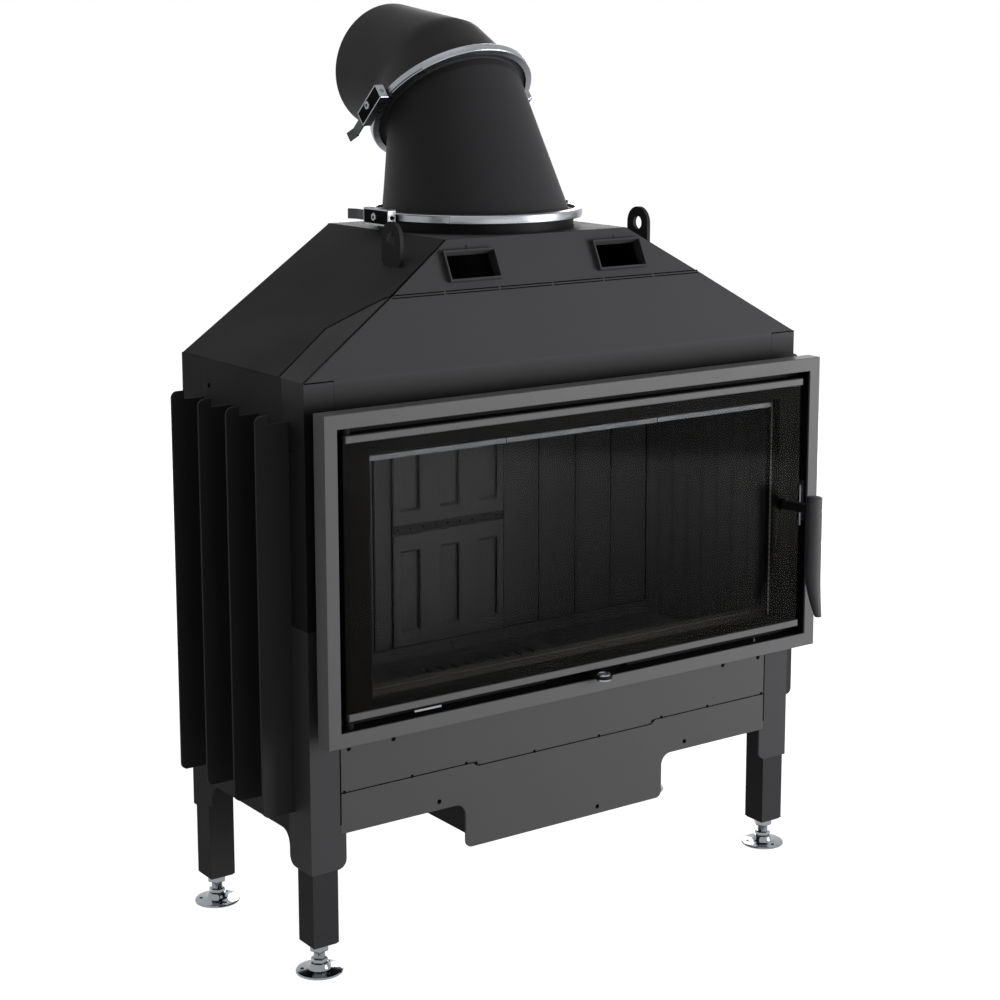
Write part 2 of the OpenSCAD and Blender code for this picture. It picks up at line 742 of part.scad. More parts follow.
// Firebox shell with the ash pit under it
module firebox() color("#202022") placed() {
    x = box_w / 2;
    t = box_wall;
    pit_x = grate_w / 2 - pit_rim;
    pit_d0 = grate_back - grate_depth + pit_rim;
    pit_d1 = grate_back - pit_rim;
    difference() {
        union() {
            block([-x, box_front_d, box_z0], [x, box_rear, box_z1]);
            block([-pit_x - t, pit_d0 - t, box_z0 - pit_h], [pit_x + t, pit_d1 + t, box_z0]);
        }
        block([-x + t, box_front_d + t, box_z0 + t], [x - t, box_rear - t, box_z1 - t]);
        block([-pit_x, pit_d0, box_z0 - pit_h + t], [pit_x, pit_d1, box_z0 + t + over]);
        block([-open_w / 2 - surround_t, box_front_d - over, surround_z0],
            [open_w / 2 + surround_t, box_front_d + t + over, surround_z1]);
        rod_z(0, neck_foot_d, neck_r - flue_wall, box_z1 - t - over, box_z1 + over);
    }
}

module hearth_slabs() color("#39393a") placed() {
    z0 = box_z0 + box_wall;
    x = fire_w / 2 + liner_t - gap;
    d0 = liner_front;
    d1 = fire_depth + liner_t;
    difference() {
        union() {
            block([-x, d0, z0], [x, d1, hearth_z]);
            wall_yz(-fire_w / 2 + gap, fire_w - 2 * gap)
                polygon([[fire_depth - floor_ledge_w, hearth_z], [fire_depth, hearth_z],
                    [fire_depth, hearth_z + floor_ledge_h]]);
        }
        block([-grate_w / 2 - gap, grate_back - grate_depth - gap, z0 - over],
            [grate_w / 2 + gap, grate_back + gap, hearth_z + over]);
        for (s = [-tile_w, 0, tile_w])
            block([s - lip_gap / 2, grate_back + 2 * gap, z0 - over],
                [s + lip_gap / 2, d1 + over, hearth_z + floor_ledge_h + over]);
    }
}
module front_sill() color("#2e2e2f") placed() {
    low = open_z0 + sill_lift;
    top = hearth_z + sill_h;
    foot = sill_back - sill_foot;
    wall_yz(-fire_w / 2 + gap, fire_w - 2 * gap)
        polygon([[sill_front, low], [foot, low], [foot, hearth_z], [sill_back, hearth_z],
            [sill_back, top], [sill_back - sill_foot - groove_w, top - lip_gap],
            [sill_front, top - sill_drop]]);
}

module side_liner() difference() {
    block([-fire_w / 2 - liner_t, liner_front, hearth_z], [-fire_w / 2, fire_depth + liner_t, liner_top]);
    for (d = [fire_depth - groove_pitch:-groove_pitch:liner_front + groove_w])
        block([-fire_w / 2 - groove_t, d - groove_w / 2, hearth_z + floor_ledge_h],
            [-fire_w / 2 + over, d + groove_w / 2, liner_top + over]);
}
module liner_left() color("#333335") placed() side_liner();
module liner_right() color("#333335") placed() mirrored() side_liner();

module rear_liners() color("#333335") placed() both_sides() difference() {
    x0 = centre_w / 2 + gap;
    x1 = fire_w / 2 - gap;
    block([x0, fire_depth, hearth_z + floor_ledge_h], [x1, fire_depth + liner_t, liner_top]);
    for (x = [x1:-groove_pitch:x0 + groove_w])
        block([x - groove_w / 2, fire_depth - over, hearth_z],
            [x + groove_w / 2, fire_depth + groove_t, liner_top + over]);
}
module fields(z0, z1) for (i = [-1:1])
    block([i * field_pitch - field_w / 2, fire_depth - field_t, z0],
        [i * field_pitch + field_w / 2, fire_depth + over, z1]);
module rear_plate_lower() color("#38383a") placed() {
    top = hearth_z + bar_z - bar_h / 2 - gap;
    block([-centre_w / 2, fire_depth, hearth_z + floor_ledge_h],
        [centre_w / 2, fire_depth + liner_t, top]);
    fields(hearth_z + field_low, top - field_margin);
}
module rear_plate_upper() color("#38383a") placed() {
    low = hearth_z + bar_z + bar_h / 2 + gap;
    block([-centre_w / 2, fire_depth, low], [centre_w / 2, fire_depth + liner_t, liner_top]);
    fields(low + field_margin, liner_top - field_margin);
}
module air_bar() color("#141415") placed() difference() {
    z = hearth_z + bar_z;
    block([-centre_w / 2, fire_depth + bar_back, z - bar_h / 2],
        [centre_w / 2, fire_depth + liner_t, z + bar_h / 2]);
    for (i = [0:bar_holes - 1])
        rod_y((i - (bar_holes - 1) / 2) * bar_hole_pitch, z, bar_hole_r,
            fire_depth, fire_depth + liner_t + over);
}
module air_lip() color("#5f5f61") placed() {
    z1 = seal_z1;
    for (s = [[-lip_w / 2, -lip_joint - lip_gap / 2], [-lip_joint + lip_gap / 2, lip_joint - lip_gap / 2],
        [lip_joint + lip_gap / 2, lip_w / 2]]) {
        block([s[0], seal_face_d - lip_t, z1 - lip_h], [s[1], seal_face_d + seal_face_t, z1]);
        block([s[0], seal_face_d + seal_face_t, z1 - lip_h],
            [s[1], seal_face_d + seal_face_t + surround_t, z1 + lip_h]);
    }
}
module baffle() color("#8a8378") placed() both_sides()
    block([baffle_joint / 2, baffle_front, liner_top],
        [fire_w / 2 + liner_t - 2 * gap, fire_depth + liner_t - gap, liner_top + baffle_t]);

module grate() color("#202021") placed() difference() {
    z1 = hearth_z;
    x = grate_w / 2;
    d0 = grate_back - grate_depth;
    in_w = grate_w - 2 * grate_rim;
    pitch = in_w / grate_slots;
    block([-x, d0, box_z0 + box_wall + gap], [x, grate_back, z1]);
    block([-x + pit_rim + 2 * gap, d0 + pit_rim + 2 * gap, box_z0],
        [x - pit_rim - 2 * gap, grate_back - pit_rim - 2 * gap, z1 - grate_t]);
    for (i = [0:grate_slots - 1])
        block([-in_w / 2 + (i + 0.5) * pitch - grate_slot / 2, d0 + grate_rim, z1 - grate_t - over],
            [-in_w / 2 + (i + 0.5) * pitch + grate_slot / 2, grate_back - grate_rim, z1 + over]);
}
module ash_pan() color("#4c4c4e") placed() {
    x = grate_w / 2 - pit_rim - pan_clear;
    d0 = grate_back - grate_depth + pit_rim + pan_clear;
    d1 = grate_back - pit_rim - pan_clear;
    z0 = box_z0 - pit_h + box_wall + gap;
    difference() {
        block([-x, d0, z0], [x, d1, z0 + pan_h]);
        block([-x + pan_wall, d0 + pan_wall, z0 + pan_wall],
            [x - pan_wall, d1 - pan_wall, z0 + pan_h + over]);
    }
}

// Combustion air: box behind the apron, round intake, slide and lever
module air_box() color("#2b2b2d") placed() difference() {
    x = apron_w / 2;
    block([-x, box_front_d, air_z0], [x, air_d1, box_z0]);
    block([-x + air_wall, box_front_d + air_wall, air_z0 + air_wall],
        [x - air_wall, air_d1 - air_wall, box_z0 + over]);
    rod_y(0, intake_z, intake_r - air_wall, air_d1 - air_wall - over, air_d1 + over);
}
module air_intake() color("#39393b") placed() difference() {
    rod_y(0, intake_z, intake_r, air_d1, air_d1 + intake_len);
    rod_y(0, intake_z, intake_r - air_wall, air_d1 - over, air_d1 + intake_len + over);
}
module air_lever() color("#1b1b1d") placed() difference() {
    union() {
        block([lever_x - lever_w / 2, -lever_front, lever_z],
            [lever_x + lever_w / 2, sill_front + lever_hold, lever_z + lever_t]);
        rod_z(lever_x, -lever_front, lever_w / 2, lever_z, lever_z + lever_t);
    }
    rod_z(lever_x, -lever_front, knob_pin_r, lever_z - over, lever_z + lever_t + over);
}
module lever_knob() color("#d5d7da") placed() {
    rod_z(lever_x, -lever_front, knob_r, lever_z - knob_h, lever_z);
    rod_z(lever_x, -lever_front, knob_pin_r, lever_z, lever_z + lever_t);
    translate([lever_x, -lever_front, lever_z + lever_t]) rotate_extrude()
        polygon([[0, 0], [knob_r, 0], [knob_r, knob_rim / 2], [knob_r - knob_rim / 2, knob_rim],
            [knob_r - knob_rim, knob_rim], [knob_r - 2 * knob_rim, knob_rim / 2],
            [0, knob_rim / 2]]);
}
module air_slide() color("#3d3d3f") placed() difference() {
    z0 = open_z0 + gap;
    block([lever_x - slide_w / 2, sill_front, z0], [lever_x + slide_w / 2, face_d, z0 + slide_t]);
    for (i = [0:port_count - 1])
        block([(i - (port_count - 1) / 2) * port_pitch - port_w / 2, sill_front + port_in, z0 - over],
            [(i - (port_count - 1) / 2) * port_pitch + port_w / 2, face_d - port_in,
            z0 + slide_t + over]);
}

// Legs and feet
module at_legs() for (s = [-1, 1]) for (d = [face_d + leg_in, rear_d - leg_in - leg_w])
    translate([s * (body_w / 2 - leg_in - leg_w / 2), d + leg_w / 2, 0]) children();
module leg_tubes() color("#3a3a3c") placed() at_legs() difference() {
    block([-leg_w / 2, -leg_w / 2, leg_lift], [leg_w / 2, leg_w / 2, box_z0]);
    block([-leg_w / 2 + leg_wall, -leg_w / 2 + leg_wall, leg_lift - over],
        [leg_w / 2 - leg_wall, leg_w / 2 - leg_wall, box_z0 + over]);
}
module leg_caps() color("#161617") placed() at_legs() difference() {
    in_w = leg_w - 2 * leg_wall - gap;
    union() {
        block([-leg_w / 2, -leg_w / 2, leg_lift - cap_h + cap_r], [leg_w / 2, leg_w / 2, leg_lift]);
        block([-leg_w / 2 + cap_r, -leg_w / 2 + cap_r, leg_lift - cap_h],
            [leg_w / 2 - cap_r, leg_w / 2 - cap_r, leg_lift]);
        block([-in_w / 2, -in_w / 2, leg_lift], [in_w / 2, in_w / 2, leg_lift + cap_h]);
    }
    rod_z(0, 0, spindle_d / 2 + fit, leg_lift - cap_h - over, leg_lift + cap_h + over);
}
module foot(s, d) color("#cfd1d4") placed()
    translate([s * (body_w / 2 - leg_in - leg_w / 2), d + leg_w / 2, 0]) {
        difference() {
            rotate_extrude() polygon([[0, 0], [foot_d / 2, 0], [foot_d / 2, foot_t / 2],
                [foot_d / 2 - foot_t / 2, foot_t], [foot_hub_r, foot_t + foot_rise],
                [spindle_d / 2 + hub_top, foot_hub_h], [spindle_d / 2, foot_hub_h],
                [spindle_d / 2, leg_lift + spindle_in], [0, leg_lift + spindle_in]]);
            for (i = [0:foot_holes - 1]) rotate([0, 0, 360 * i / foot_holes + foot_hole_turn])
                rod_z(foot_hole_pcd / 2, 0, foot_hole_r, -over, 2 * foot_t);
        }
        translate([0, 0, leg_lift - cap_h - gap - foot_nut_h])
            cylinder(r = foot_nut_r, h = foot_nut_h, $fn = 6);
    }
front_leg_d = face_d + leg_in;
rear_leg_d = rear_d - leg_in - leg_w;
module foot_front_left() foot(-1, front_leg_d);
module foot_front_right() foot(1, front_leg_d);
module foot_rear_left() foot(-1, rear_leg_d);
module foot_rear_right() foot(1, rear_leg_d);

// Door
module door_frame() color("#19191a") placed() difference() {
    block([-door_x, bar_d, door_z0], [door_x, bar_d + door_t, door_z1]);
    block([-door_in_x, bar_d - over, door_in_z0], [door_in_x, bar_d + door_t + over, door_in_z1]);
    rod_z(hinge_x, hinge_d, pin_d / 2 + fit, door_z0 - over, door_z0 + hinge_bore);
    rod_z(hinge_x, hinge_d, pin_d / 2 + fit, door_z1 - hinge_bore, door_z1 + over);
    rod_y(shaft_x, shaft_z, shaft_d / 2 + fit, bar_d - over, bar_d + door_t + over);
}
module door_rails() color("#77787a") placed() for (z = [door_z0, door_z1 - rail_h])
    block([-door_x, rail_d, z], [door_x, bar_d, z + rail_h]);
module door_glass() color([0.05, 0.05, 0.06, 0.45]) placed() difference() {
    block([-door_x, glass_d, door_z0 + rail_h], [door_x, glass_d + glass_t, door_z1 - rail_h]);
    rod_y(shaft_x, shaft_z, shaft_d / 2 + over, glass_d - over, glass_d + glass_t + over);
}
module glass_tape() color("#2a2a2b") placed() difference() {
    block([-door_x, glass_d + glass_t, door_z0 + rail_h], [door_x, bar_d, door_z1 - rail_h]);
    block([-door_in_x, glass_d, door_in_z0], [door_in_x, bar_d + over, door_in_z1]);
    rod_y(shaft_x, shaft_z, shaft_d / 2 + over, glass_d, bar_d + over);
}
module door_rope() color("#7d7a74") placed() {
    x = door_in_x;
    z0 = seal_z0 - rope_low;
    z1 = door_in_z1;
    d0 = bar_d + door_t;
    d1 = seal_face_d - gap;
    difference() {
        block([-x - rope_w, d0, z0 - rope_w], [x + rope_w, d1, z1 + rope_w]);
        block([-x, d0 - over, z0], [x, d1 + over, z1]);
    }
}
module hinge_pins() color("#c0c2c5") placed() {
    rod_z(hinge_x, hinge_d, pin_d / 2, open_z0, door_z0 + hinge_bore - over);
    rod_z(hinge_x, hinge_d, collar_r, open_z0, door_z0 - gap);
    rod_z(hinge_x, hinge_d, pin_d / 2, door_z1 - hinge_bore + over, open_z1);
    rod_z(hinge_x, hinge_d, collar_r, door_z1 + gap, open_z1);
}
module latch_plate() color("#d0d2d5") placed()
    block([door_x, glass_d, shaft_z - latch_h / 2 - cam_w / 2],
        [door_x + latch_t, glass_d + latch_w, shaft_z + latch_h / 2 - cam_w / 2]);
module door_catch() color("#c4c6c9") placed() {
    x = open_w / 2;
    block([x - catch_t, bar_d, shaft_z - latch_h / 2], [x, bar_d + catch_w, shaft_z + latch_h / 2]);
    rod_z(x - catch_t, bar_d + catch_w / 2, catch_r, shaft_z - latch_h / 4, shaft_z + latch_h / 4);
}

// Handle
module handle_shaft() color("#1d1d1f") placed() {
    turn = atan2(grip_x - shaft_x, grip_reach);
    rod_y(shaft_x, shaft_z, shaft_d / 2, glass_d - gap, cam_d + cam_t);
    rod_y(shaft_x, shaft_z, boss_r, glass_d - gap - boss_t, glass_d - gap);
    reach = norm([grip_x - shaft_x, grip_reach]) - grip_d / 2 - gap;
    translate([shaft_x, 0, shaft_z]) rotate([0, 0, turn])
        block([-arm_w / 2, -reach, -arm_h / 2], [arm_w / 2, 0, arm_h / 2]);
}
module grip_disc(i) translate([grip_x, -grip_reach - grip_tip_lean * grip_lean_shares[i],
    shaft_z + grip_above - grip_len * grip_shares[i]])
    cylinder(r = grip_d / 2 * grip_r_shares[i], h = groove_r, $fn = 32);
module handle_grip() color("#3a3a3d") placed() {
    top = shaft_z + grip_above;
    difference() {
        rod_z(grip_x, -grip_reach, grip_d / 2, top - grip_len * grip_shares[0], top - grip_cap);
        for (g = groove_drops) translate([grip_x, -grip_reach, top - g]) rotate_extrude()
            translate([grip_d / 2, 0]) circle(r = groove_r, $fn = 24);
    }
    translate([grip_x, -grip_reach, top - grip_cap]) rotate_extrude()
        polygon([[0, 0], [grip_d / 2, 0], [grip_d / 2 - grip_bevel, grip_cap], [0, grip_cap]]);
    for (i = [0:1]) hull() {
        grip_disc(i);
        grip_disc(i + 1);
    }
}
module latch_cam() color("#8c8e91") placed() difference() {
    union() {
        block([shaft_x, cam_d, shaft_z - cam_w / 2], [shaft_x + cam_reach - cam_w / 2, cam_d + cam_t,
            shaft_z + cam_w / 2]);
        rod_y(shaft_x + cam_reach - cam_w / 2, shaft_z, cam_w / 2, cam_d, cam_d + cam_t);
        rod_y(shaft_x, shaft_z, shaft_d / 2 + groove_r, cam_d, cam_d + cam_t);
    }
    rod_y(shaft_x, shaft_z, shaft_d / 2, cam_d - over, cam_d + cam_t + over);
}

// Flue
module at_swivel() translate([0, swivel_d, swivel_z]) rotate([-swivel_tilt, 0, 0]) children();
module ring(r0, r1, z0, z1) difference() {
    rod_z(0, 0, r1, z0, z1);
    rod_z(0, 0, r0, z0 - over, z1 + over);
}
// A round shell between two circles of any lean, t thick inwards
function circle_at(c, r, lean) = [for (i = [0:shell_sides - 1])
    let (a = 360 * i / shell_sides) c + r * [cos(a), sin(a) * cos(lean), -sin(a) * sin(lean)]];
module shell(c0, r0, lean0, c1, r1, lean1, t) {
    n = shell_sides;
    pts = concat(circle_at(c0, r0, lean0), circle_at(c1, r1, lean1),
        circle_at(c1, r1 - t, lean1), circle_at(c0, r0 - t, lean0));
    polyhedron(pts, [for (k = [0:3]) for (i = [0:n - 1]) for (half = [0, 1])
        let (j = (i + 1) % n, up = (k + 1) % 4 * n, at = k * n)
        half == 0 ? [at + i, up + i, up + j] : [at + i, up + j, at + j]]);
}
module flue_neck() color("#1e1e20") placed() {
    low = box_z1 - box_wall;
    mid = top_z - neck_drop;
    inner = neck_r - flue_wall - gap;
    translate([0, flue_d, 0]) {
        ring(neck_r - flue_wall, neck_r - gap, mid, base_flange_z);
        ring(cone_r - flue_wall, lower_rim, base_flange_z, base_flange_z + flange_t);
    }
    translate([0, neck_foot_d, 0])
        ring(inner - flue_wall, inner, low, box_z1 + flange_t);
    shell([0, neck_foot_d, box_z1 + flange_t / 2], inner - bury, 0,
        [0, flue_d, mid + bury], neck_r - gap - bury, 0, flue_wall - 2 * bury);
}
module flue_cone() color("#2b2b2d") placed() {
    z0 = base_flange_z + flange_t + gap;
    top = cone_top_r - bury;
    lean = [0, sin(swivel_tilt), cos(swivel_tilt)];
    translate([0, flue_d, 0]) ring(cone_r - flue_wall - bury, lower_rim, z0, z0 + flange_t);
    shell([0, flue_d, z0 + flange_t / 2], cone_r, 0,
        [0, swivel_d, swivel_z] - (swivel_neck - bury / 2) * lean, top, swivel_tilt,
        flue_wall - bury);
    at_swivel() ring(cone_top_r - flue_wall - bury, cone_top_r, -swivel_neck, -gap / 2);
    at_swivel() ring(cone_top_r - bury, collar_r2, -flange_t - gap / 2, -gap / 2);
}
// Bend: a tapered piece about the swivel's axis meets the pipe in one flat crease.
// Both touch the same ball of radius r about the bend's middle.
function crease(r, i) =
    let (a = 360 * i / shell_sides,
        across = [r * cos(a), -r * sin(a) * sin(pipe_elev), r * sin(a) * cos(pipe_elev)],
        tip = r / sin(taper) * swivel_axis,
        n = tip + r / tan(taper) * pipe_axis)
    across + (r * r - across * n) / (pipe_axis * n) * pipe_axis;
function bend_foot(r, i, h) =
    let (c = crease(r, i), tip = r / sin(taper) * swivel_axis, drop = c - tip)
    tip + (h - bend_rise - tip * swivel_axis) / (drop * swivel_axis) * drop;
function bend_end(r, i) =
    let (c = crease(r, i)) c + (pipe_part_share * pipe_len + bury - c * pipe_axis) * pipe_axis;
module bend_shell(r, t) {
    n = shell_sides;
    rows = concat([for (i = [0:n - 1]) bend_foot(r, i, flange_t / 2)],
        [for (i = [0:n - 1]) crease(r, i)], [for (i = [0:n - 1]) bend_end(r, i)],
        [for (i = [0:n - 1]) bend_end(r - t, i)], [for (i = [0:n - 1]) crease(r - t, i)],
        [for (i = [0:n - 1]) bend_foot(r - t, i, flange_t / 2)]);
    polyhedron([for (p = rows) p + bend_at], [for (k = [0:5]) for (i = [0:n - 1])
        for (half = [0, 1]) let (j = (i + 1) % n, up = (k + 1) % 6 * n, at = k * n)
        half == 0 ? [at + i, up + j, up + i] : [at + i, at + j, up + j]]);
}
module flue_elbow() color("#262628") placed() {
    bend_shell(pipe_r - bury / 2, flue_wall - bury);
    at_swivel() ring(pipe_r, collar_r2, gap / 2, flange_t + gap / 2);
    translate(bend_at) rotate([pipe_elev - 90, 0, 0])
        ring(pipe_r - flue_wall, pipe_r, pipe_part_share * pipe_len, pipe_len);
}

// Band clamp drawn about its own axis, closures at the left and right
module band(rim) {
    out = rim + rim_gap;
    h = band_h / 2;
    leg = rim - band_leg;
    seat = flange_t + 1.5 * gap;
    rotate_extrude() polygon([[leg, -h], [out, -h + band_edge], [out, h - band_edge], [leg, h],
        [leg, seat], [rim + gap, seat], [rim + gap, -seat], [leg, -seat]]);
    for (a = [180 + strap_start, strap_start]) rotate([0, 0, a]) rotate_extrude(angle = strap_angle)
        translate([out - strap_t, -h + band_edge + gap])
            square([2 * strap_t, band_h - 2 * band_edge - 2 * gap]);
}
module clamp(rim) {
    x = rim + rim_gap + strap_t + gap;
    difference() {
        band(rim);
        for (s = [-1, 1]) block([s * x - clip_w, -clip_wall, -band_h], [s * x + clip_w, clip_wall, band_h]);
    }
    difference() {
        block([-x - clip_w, -clip_front, -clip_h / 2], [-x, clip_back, clip_h / 2]);
        block([-x - clip_w - over, -clip_front + clip_wall, -clip_h / 2 + clip_wall],
            [-x + over, clip_back - clip_wall, clip_h / 2 - clip_wall]);
    }
    translate([-x - clip_w, -barrel_y, 0]) rotate([0, 90, 0]) cylinder(r = barrel_r, h = clip_w);
    rod_y(-x - clip_w / 2, 0, bolt_len_r, -clip_front, clip_back);
    block([-x, -hook_len, -clip_h / 3], [-x + leaf_t, hook_len, clip_h / 3]);
    block([x - leaf_t, -clip_len / 2, -clip_h / 3], [x + clip_wall, clip_len / 2, clip_h / 3]);
    rod_z(x + clip_wall + barrel_set, clip_len / 4, barrel_r, -clip_h / 3, clip_h / 3);
    block([x + clip_wall, -clip_len / 2, -clip_h / 4],
        [x + clip_wall + barrel_set, clip_len / 4, clip_h / 4]);
}
module clamp_lever(rim) {
    x = rim + rim_gap + strap_t + gap + clip_w / 2;
    y = clip_back + lever_pin_r + gap;
    rod_z(-x, y, lever_pin_r, -lever_plate_w / 2, lever_plate_w / 2);
    block([-x - lever_plate_t, y, -lever_plate_w / 2], [-x, y + lever_plate_len, lever_plate_w / 2]);
    translate([-x, y + lever_plate_len, 0]) rotate([0, 0, lever_bent])
        block([-lever_plate_t, -lever_plate_t, -lever_plate_w / 2], [0, lever_tip, lever_plate_w / 2]);
}
module at_base() translate([0, flue_d, base_flange_z + flange_t + gap / 2]) children();
module clamp_lower() color("#b9bcc0") placed() at_base() clamp(lower_rim);
module clamp_upper() color("#b9bcc0") placed() at_swivel() clamp(collar_r2);
module clamp_lever_lower() color("#a9acb0") placed() at_base() clamp_lever(lower_rim);
module clamp_lever_upper() color("#a9acb0") placed() at_swivel() clamp_lever(collar_r2);

side_wall_left();
side_wall_right();
corner_cover_left();
corner_cover_right();
rear_corners();
hood_front();
hood_top();
hood_side_left();
hood_side_right();
rear_wall();
lower_panel();
air_outlets();
lifting_eyes();
fins_left();
fins_right();
front_frame();
surround();
seal_flange();
firebox();
hearth_slabs();
front_sill();
liner_left();
liner_right();
rear_liners();
rear_plate_upper();
rear_plate_lower();
air_bar();
air_lip();
baffle();
grate();
ash_pan();
air_box();
air_intake();
air_lever();
lever_knob();
air_slide();
leg_tubes();
leg_caps();
foot_front_left();
foot_front_right();
foot_rear_left();
foot_rear_right();
door_frame();
door_rails();
door_glass();
glass_tape();
door_rope();
hinge_pins();
latch_plate();
door_catch();
handle_shaft();
handle_grip();
latch_cam();
flue_neck();
flue_cone();
flue_elbow();
clamp_lower();
clamp_upper();
clamp_lever_lower();
clamp_lever_upper();
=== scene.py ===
# %% [markdown]
# # A fireplace insert, dressed around its CAD frame
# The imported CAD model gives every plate, joint and hollow. This script loads it as a fixed
# frame, gives each carried-over solid its finish, and replaces the round, folded and moulded
# pieces with smoother surfaces that numpy works out.
# Everything is measured in millimetres as on the real object: x to the right, d back from
# the front face of the frame, z up from the floor. One function turns that into metres.

# %% Frame and units
import json
import math

import bmesh
import bpy
import numpy as np
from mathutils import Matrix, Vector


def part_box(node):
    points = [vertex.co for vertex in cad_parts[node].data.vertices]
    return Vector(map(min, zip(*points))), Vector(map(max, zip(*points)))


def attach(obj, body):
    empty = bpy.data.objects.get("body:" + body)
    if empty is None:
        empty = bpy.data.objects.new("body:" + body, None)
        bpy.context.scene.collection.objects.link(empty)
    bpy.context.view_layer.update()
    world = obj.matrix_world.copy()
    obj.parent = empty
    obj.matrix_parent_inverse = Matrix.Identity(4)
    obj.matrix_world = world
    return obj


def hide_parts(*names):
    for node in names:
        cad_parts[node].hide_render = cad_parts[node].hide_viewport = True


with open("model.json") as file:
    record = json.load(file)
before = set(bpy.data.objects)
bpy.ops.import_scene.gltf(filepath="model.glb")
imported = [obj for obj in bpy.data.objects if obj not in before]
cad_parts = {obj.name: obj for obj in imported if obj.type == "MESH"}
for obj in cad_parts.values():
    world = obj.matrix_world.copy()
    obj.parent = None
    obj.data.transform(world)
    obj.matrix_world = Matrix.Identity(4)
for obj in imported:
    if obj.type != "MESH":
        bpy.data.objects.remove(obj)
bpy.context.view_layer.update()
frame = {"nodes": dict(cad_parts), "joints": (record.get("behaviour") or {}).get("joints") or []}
MM = 1000.0  # millimetres in a metre
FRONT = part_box("front_frame")[0].y * MM
print("front face at y =", round(FRONT, 2), "mm")


def metres(points):
    """Turns rows of (x, d, z) in mm into row-frame metres: y is d plus the front face's y."""
    p = np.array(points, float).reshape(-1, 3)
    return (p + [0.0, FRONT, 0.0]) / MM


# %% [markdown]
# ## Camera
# The photograph was taken with a long lens, from a little above the hood. Its film was
# shifted to keep uprights parallel. A small shift and a slight downward tilt give nearly the
# same picture and also serve the other views, so the camera here is tilted by about ten degrees.

# %% Camera
CAMERA_AT = (-1.8134, -2.5929, 1.2875)  # metres
YAW, PITCH = math.radians(35.567), math.radians(9.855)
SENSOR_MM, FOCAL_PX, PHOTO_PX = 36.0, 2152.9, 1000.0
camera_data = bpy.data.cameras.new("camera")
camera = bpy.data.objects.new("camera", camera_data)
bpy.context.scene.collection.objects.link(camera)
camera.location = CAMERA_AT
camera.rotation_euler = (math.pi / 2 - PITCH, 0.0, -YAW)
camera_data.sensor_width = SENSOR_MM
camera_data.lens = SENSOR_MM * FOCAL_PX / PHOTO_PX
camera_data.shift_x, camera_data.shift_y = -0.0184, -0.1
camera_data.clip_end = 50.0
bpy.context.scene.camera = camera
print("lens:", round(camera_data.lens, 1), "mm")

# %% [markdown]
# ## Background
# The insert stands in a white studio. The background's white is only seen by the camera, in
# gloss and through glass, and adds very little light to the object.

# %% Background
scene = bpy.context.scene
scene.view_settings.view_transform = "Standard"


def link_node(tree, kind, settings=(), inputs=(), links=()):
    """Adds one node: settings are attributes, inputs are values, links are incoming wires."""
    node = tree.nodes.new(kind)
    for name, value in dict(settings).items():
        setattr(node, name, value)
    for name, value in dict(inputs).items():
        node.inputs[name].default_value = value
    for name, source in dict(links).items():
        tree.links.new(source, node.inputs[name])
    return node


def seen_rays(tree):
    """1 for what the camera sees straight, in gloss or through glass: the largest of the three
    Light Path outputs. 0 for the light that falls on the object."""
    path = link_node(tree, "ShaderNodeLightPath")
    sharp = link_node(tree, "ShaderNodeMath", {"operation": "MAXIMUM"}, {},
                      {0: path.outputs["Is Glossy Ray"], 1: path.outputs["Is Transmission Ray"]})
    seen = link_node(tree, "ShaderNodeMath", {"operation": "MAXIMUM"}, {},
                     {0: path.outputs["Is Camera Ray"], 1: sharp.outputs[0]})
    return seen.outputs[0]


WHITE = (1, 1, 1, 1)
WORLD_LIGHT, WORLD_SEEN = 0.055, 1.0  # strengths: what lights the object, what shows as white
world = bpy.data.worlds.new("studio")
scene.world = world
world.use_nodes = True
wt = world.node_tree
wt.nodes.clear()
plain = link_node(wt, "ShaderNodeBackground", {}, {"Color": WHITE, "Strength": WORLD_LIGHT})
bright = link_node(wt, "ShaderNodeBackground", {}, {"Color": WHITE, "Strength": WORLD_SEEN})
both = link_node(wt, "ShaderNodeMixShader", {}, {},
                 {0: seen_rays(wt), 1: plain.outputs[0], 2: bright.outputs[0]})
link_node(wt, "ShaderNodeOutputWorld", {}, {}, {"Surface": both.outputs[0]})
print("background:", world.name)

# %% [markdown]
# ## Lamps
# The lamps keep the paint at about the colour it is written. The front is lit from the right,
# and the left side is much darker, as in the photograph. Two lamps behind the insert keep its
# back and its right side readable.


# %% Lamps
def lamp(name, place, target, width, height, watts):
    """An area lamp of width by height metres at place, its face turned to target."""
    data = bpy.data.lights.new(name, "AREA")
    data.shape = "RECTANGLE"
    data.size, data.size_y, data.energy = width, height, watts
    obj = bpy.data.objects.new(name, data)
    scene.collection.objects.link(obj)
    obj.location = place
    away = np.array(place, float) - np.array(target, float)
    turn = math.atan2(away[0], -away[1])
    tilt = math.atan2(np.hypot(away[0], away[1]), away[2])
    obj.rotation_euler = (tilt, 0.0, turn)


lamp("key_front_right", (2.4, -2.8, 0.85), (0.1, 0.0, 0.65), 2.0, 1.3, 80.0)
lamp("front_low", (-0.3, -3.8, 0.5), (0.0, 0.0, 0.4), 2.6, 1.0, 10.0)
lamp("left_fill", (-1.7, 3.2, 2.7), (0.0, 0.1, 0.8), 1.6, 1.6, 8.0)
lamp("rear_rim", (2.4, 3.2, 1.8), (0.0, 0.0, 0.7), 1.6, 1.6, 40.0)
lamp("top_soft", (-0.3, 0.2, 3.6), (0.0, 0.0, 0.8), 2.0, 2.0, 5.0)

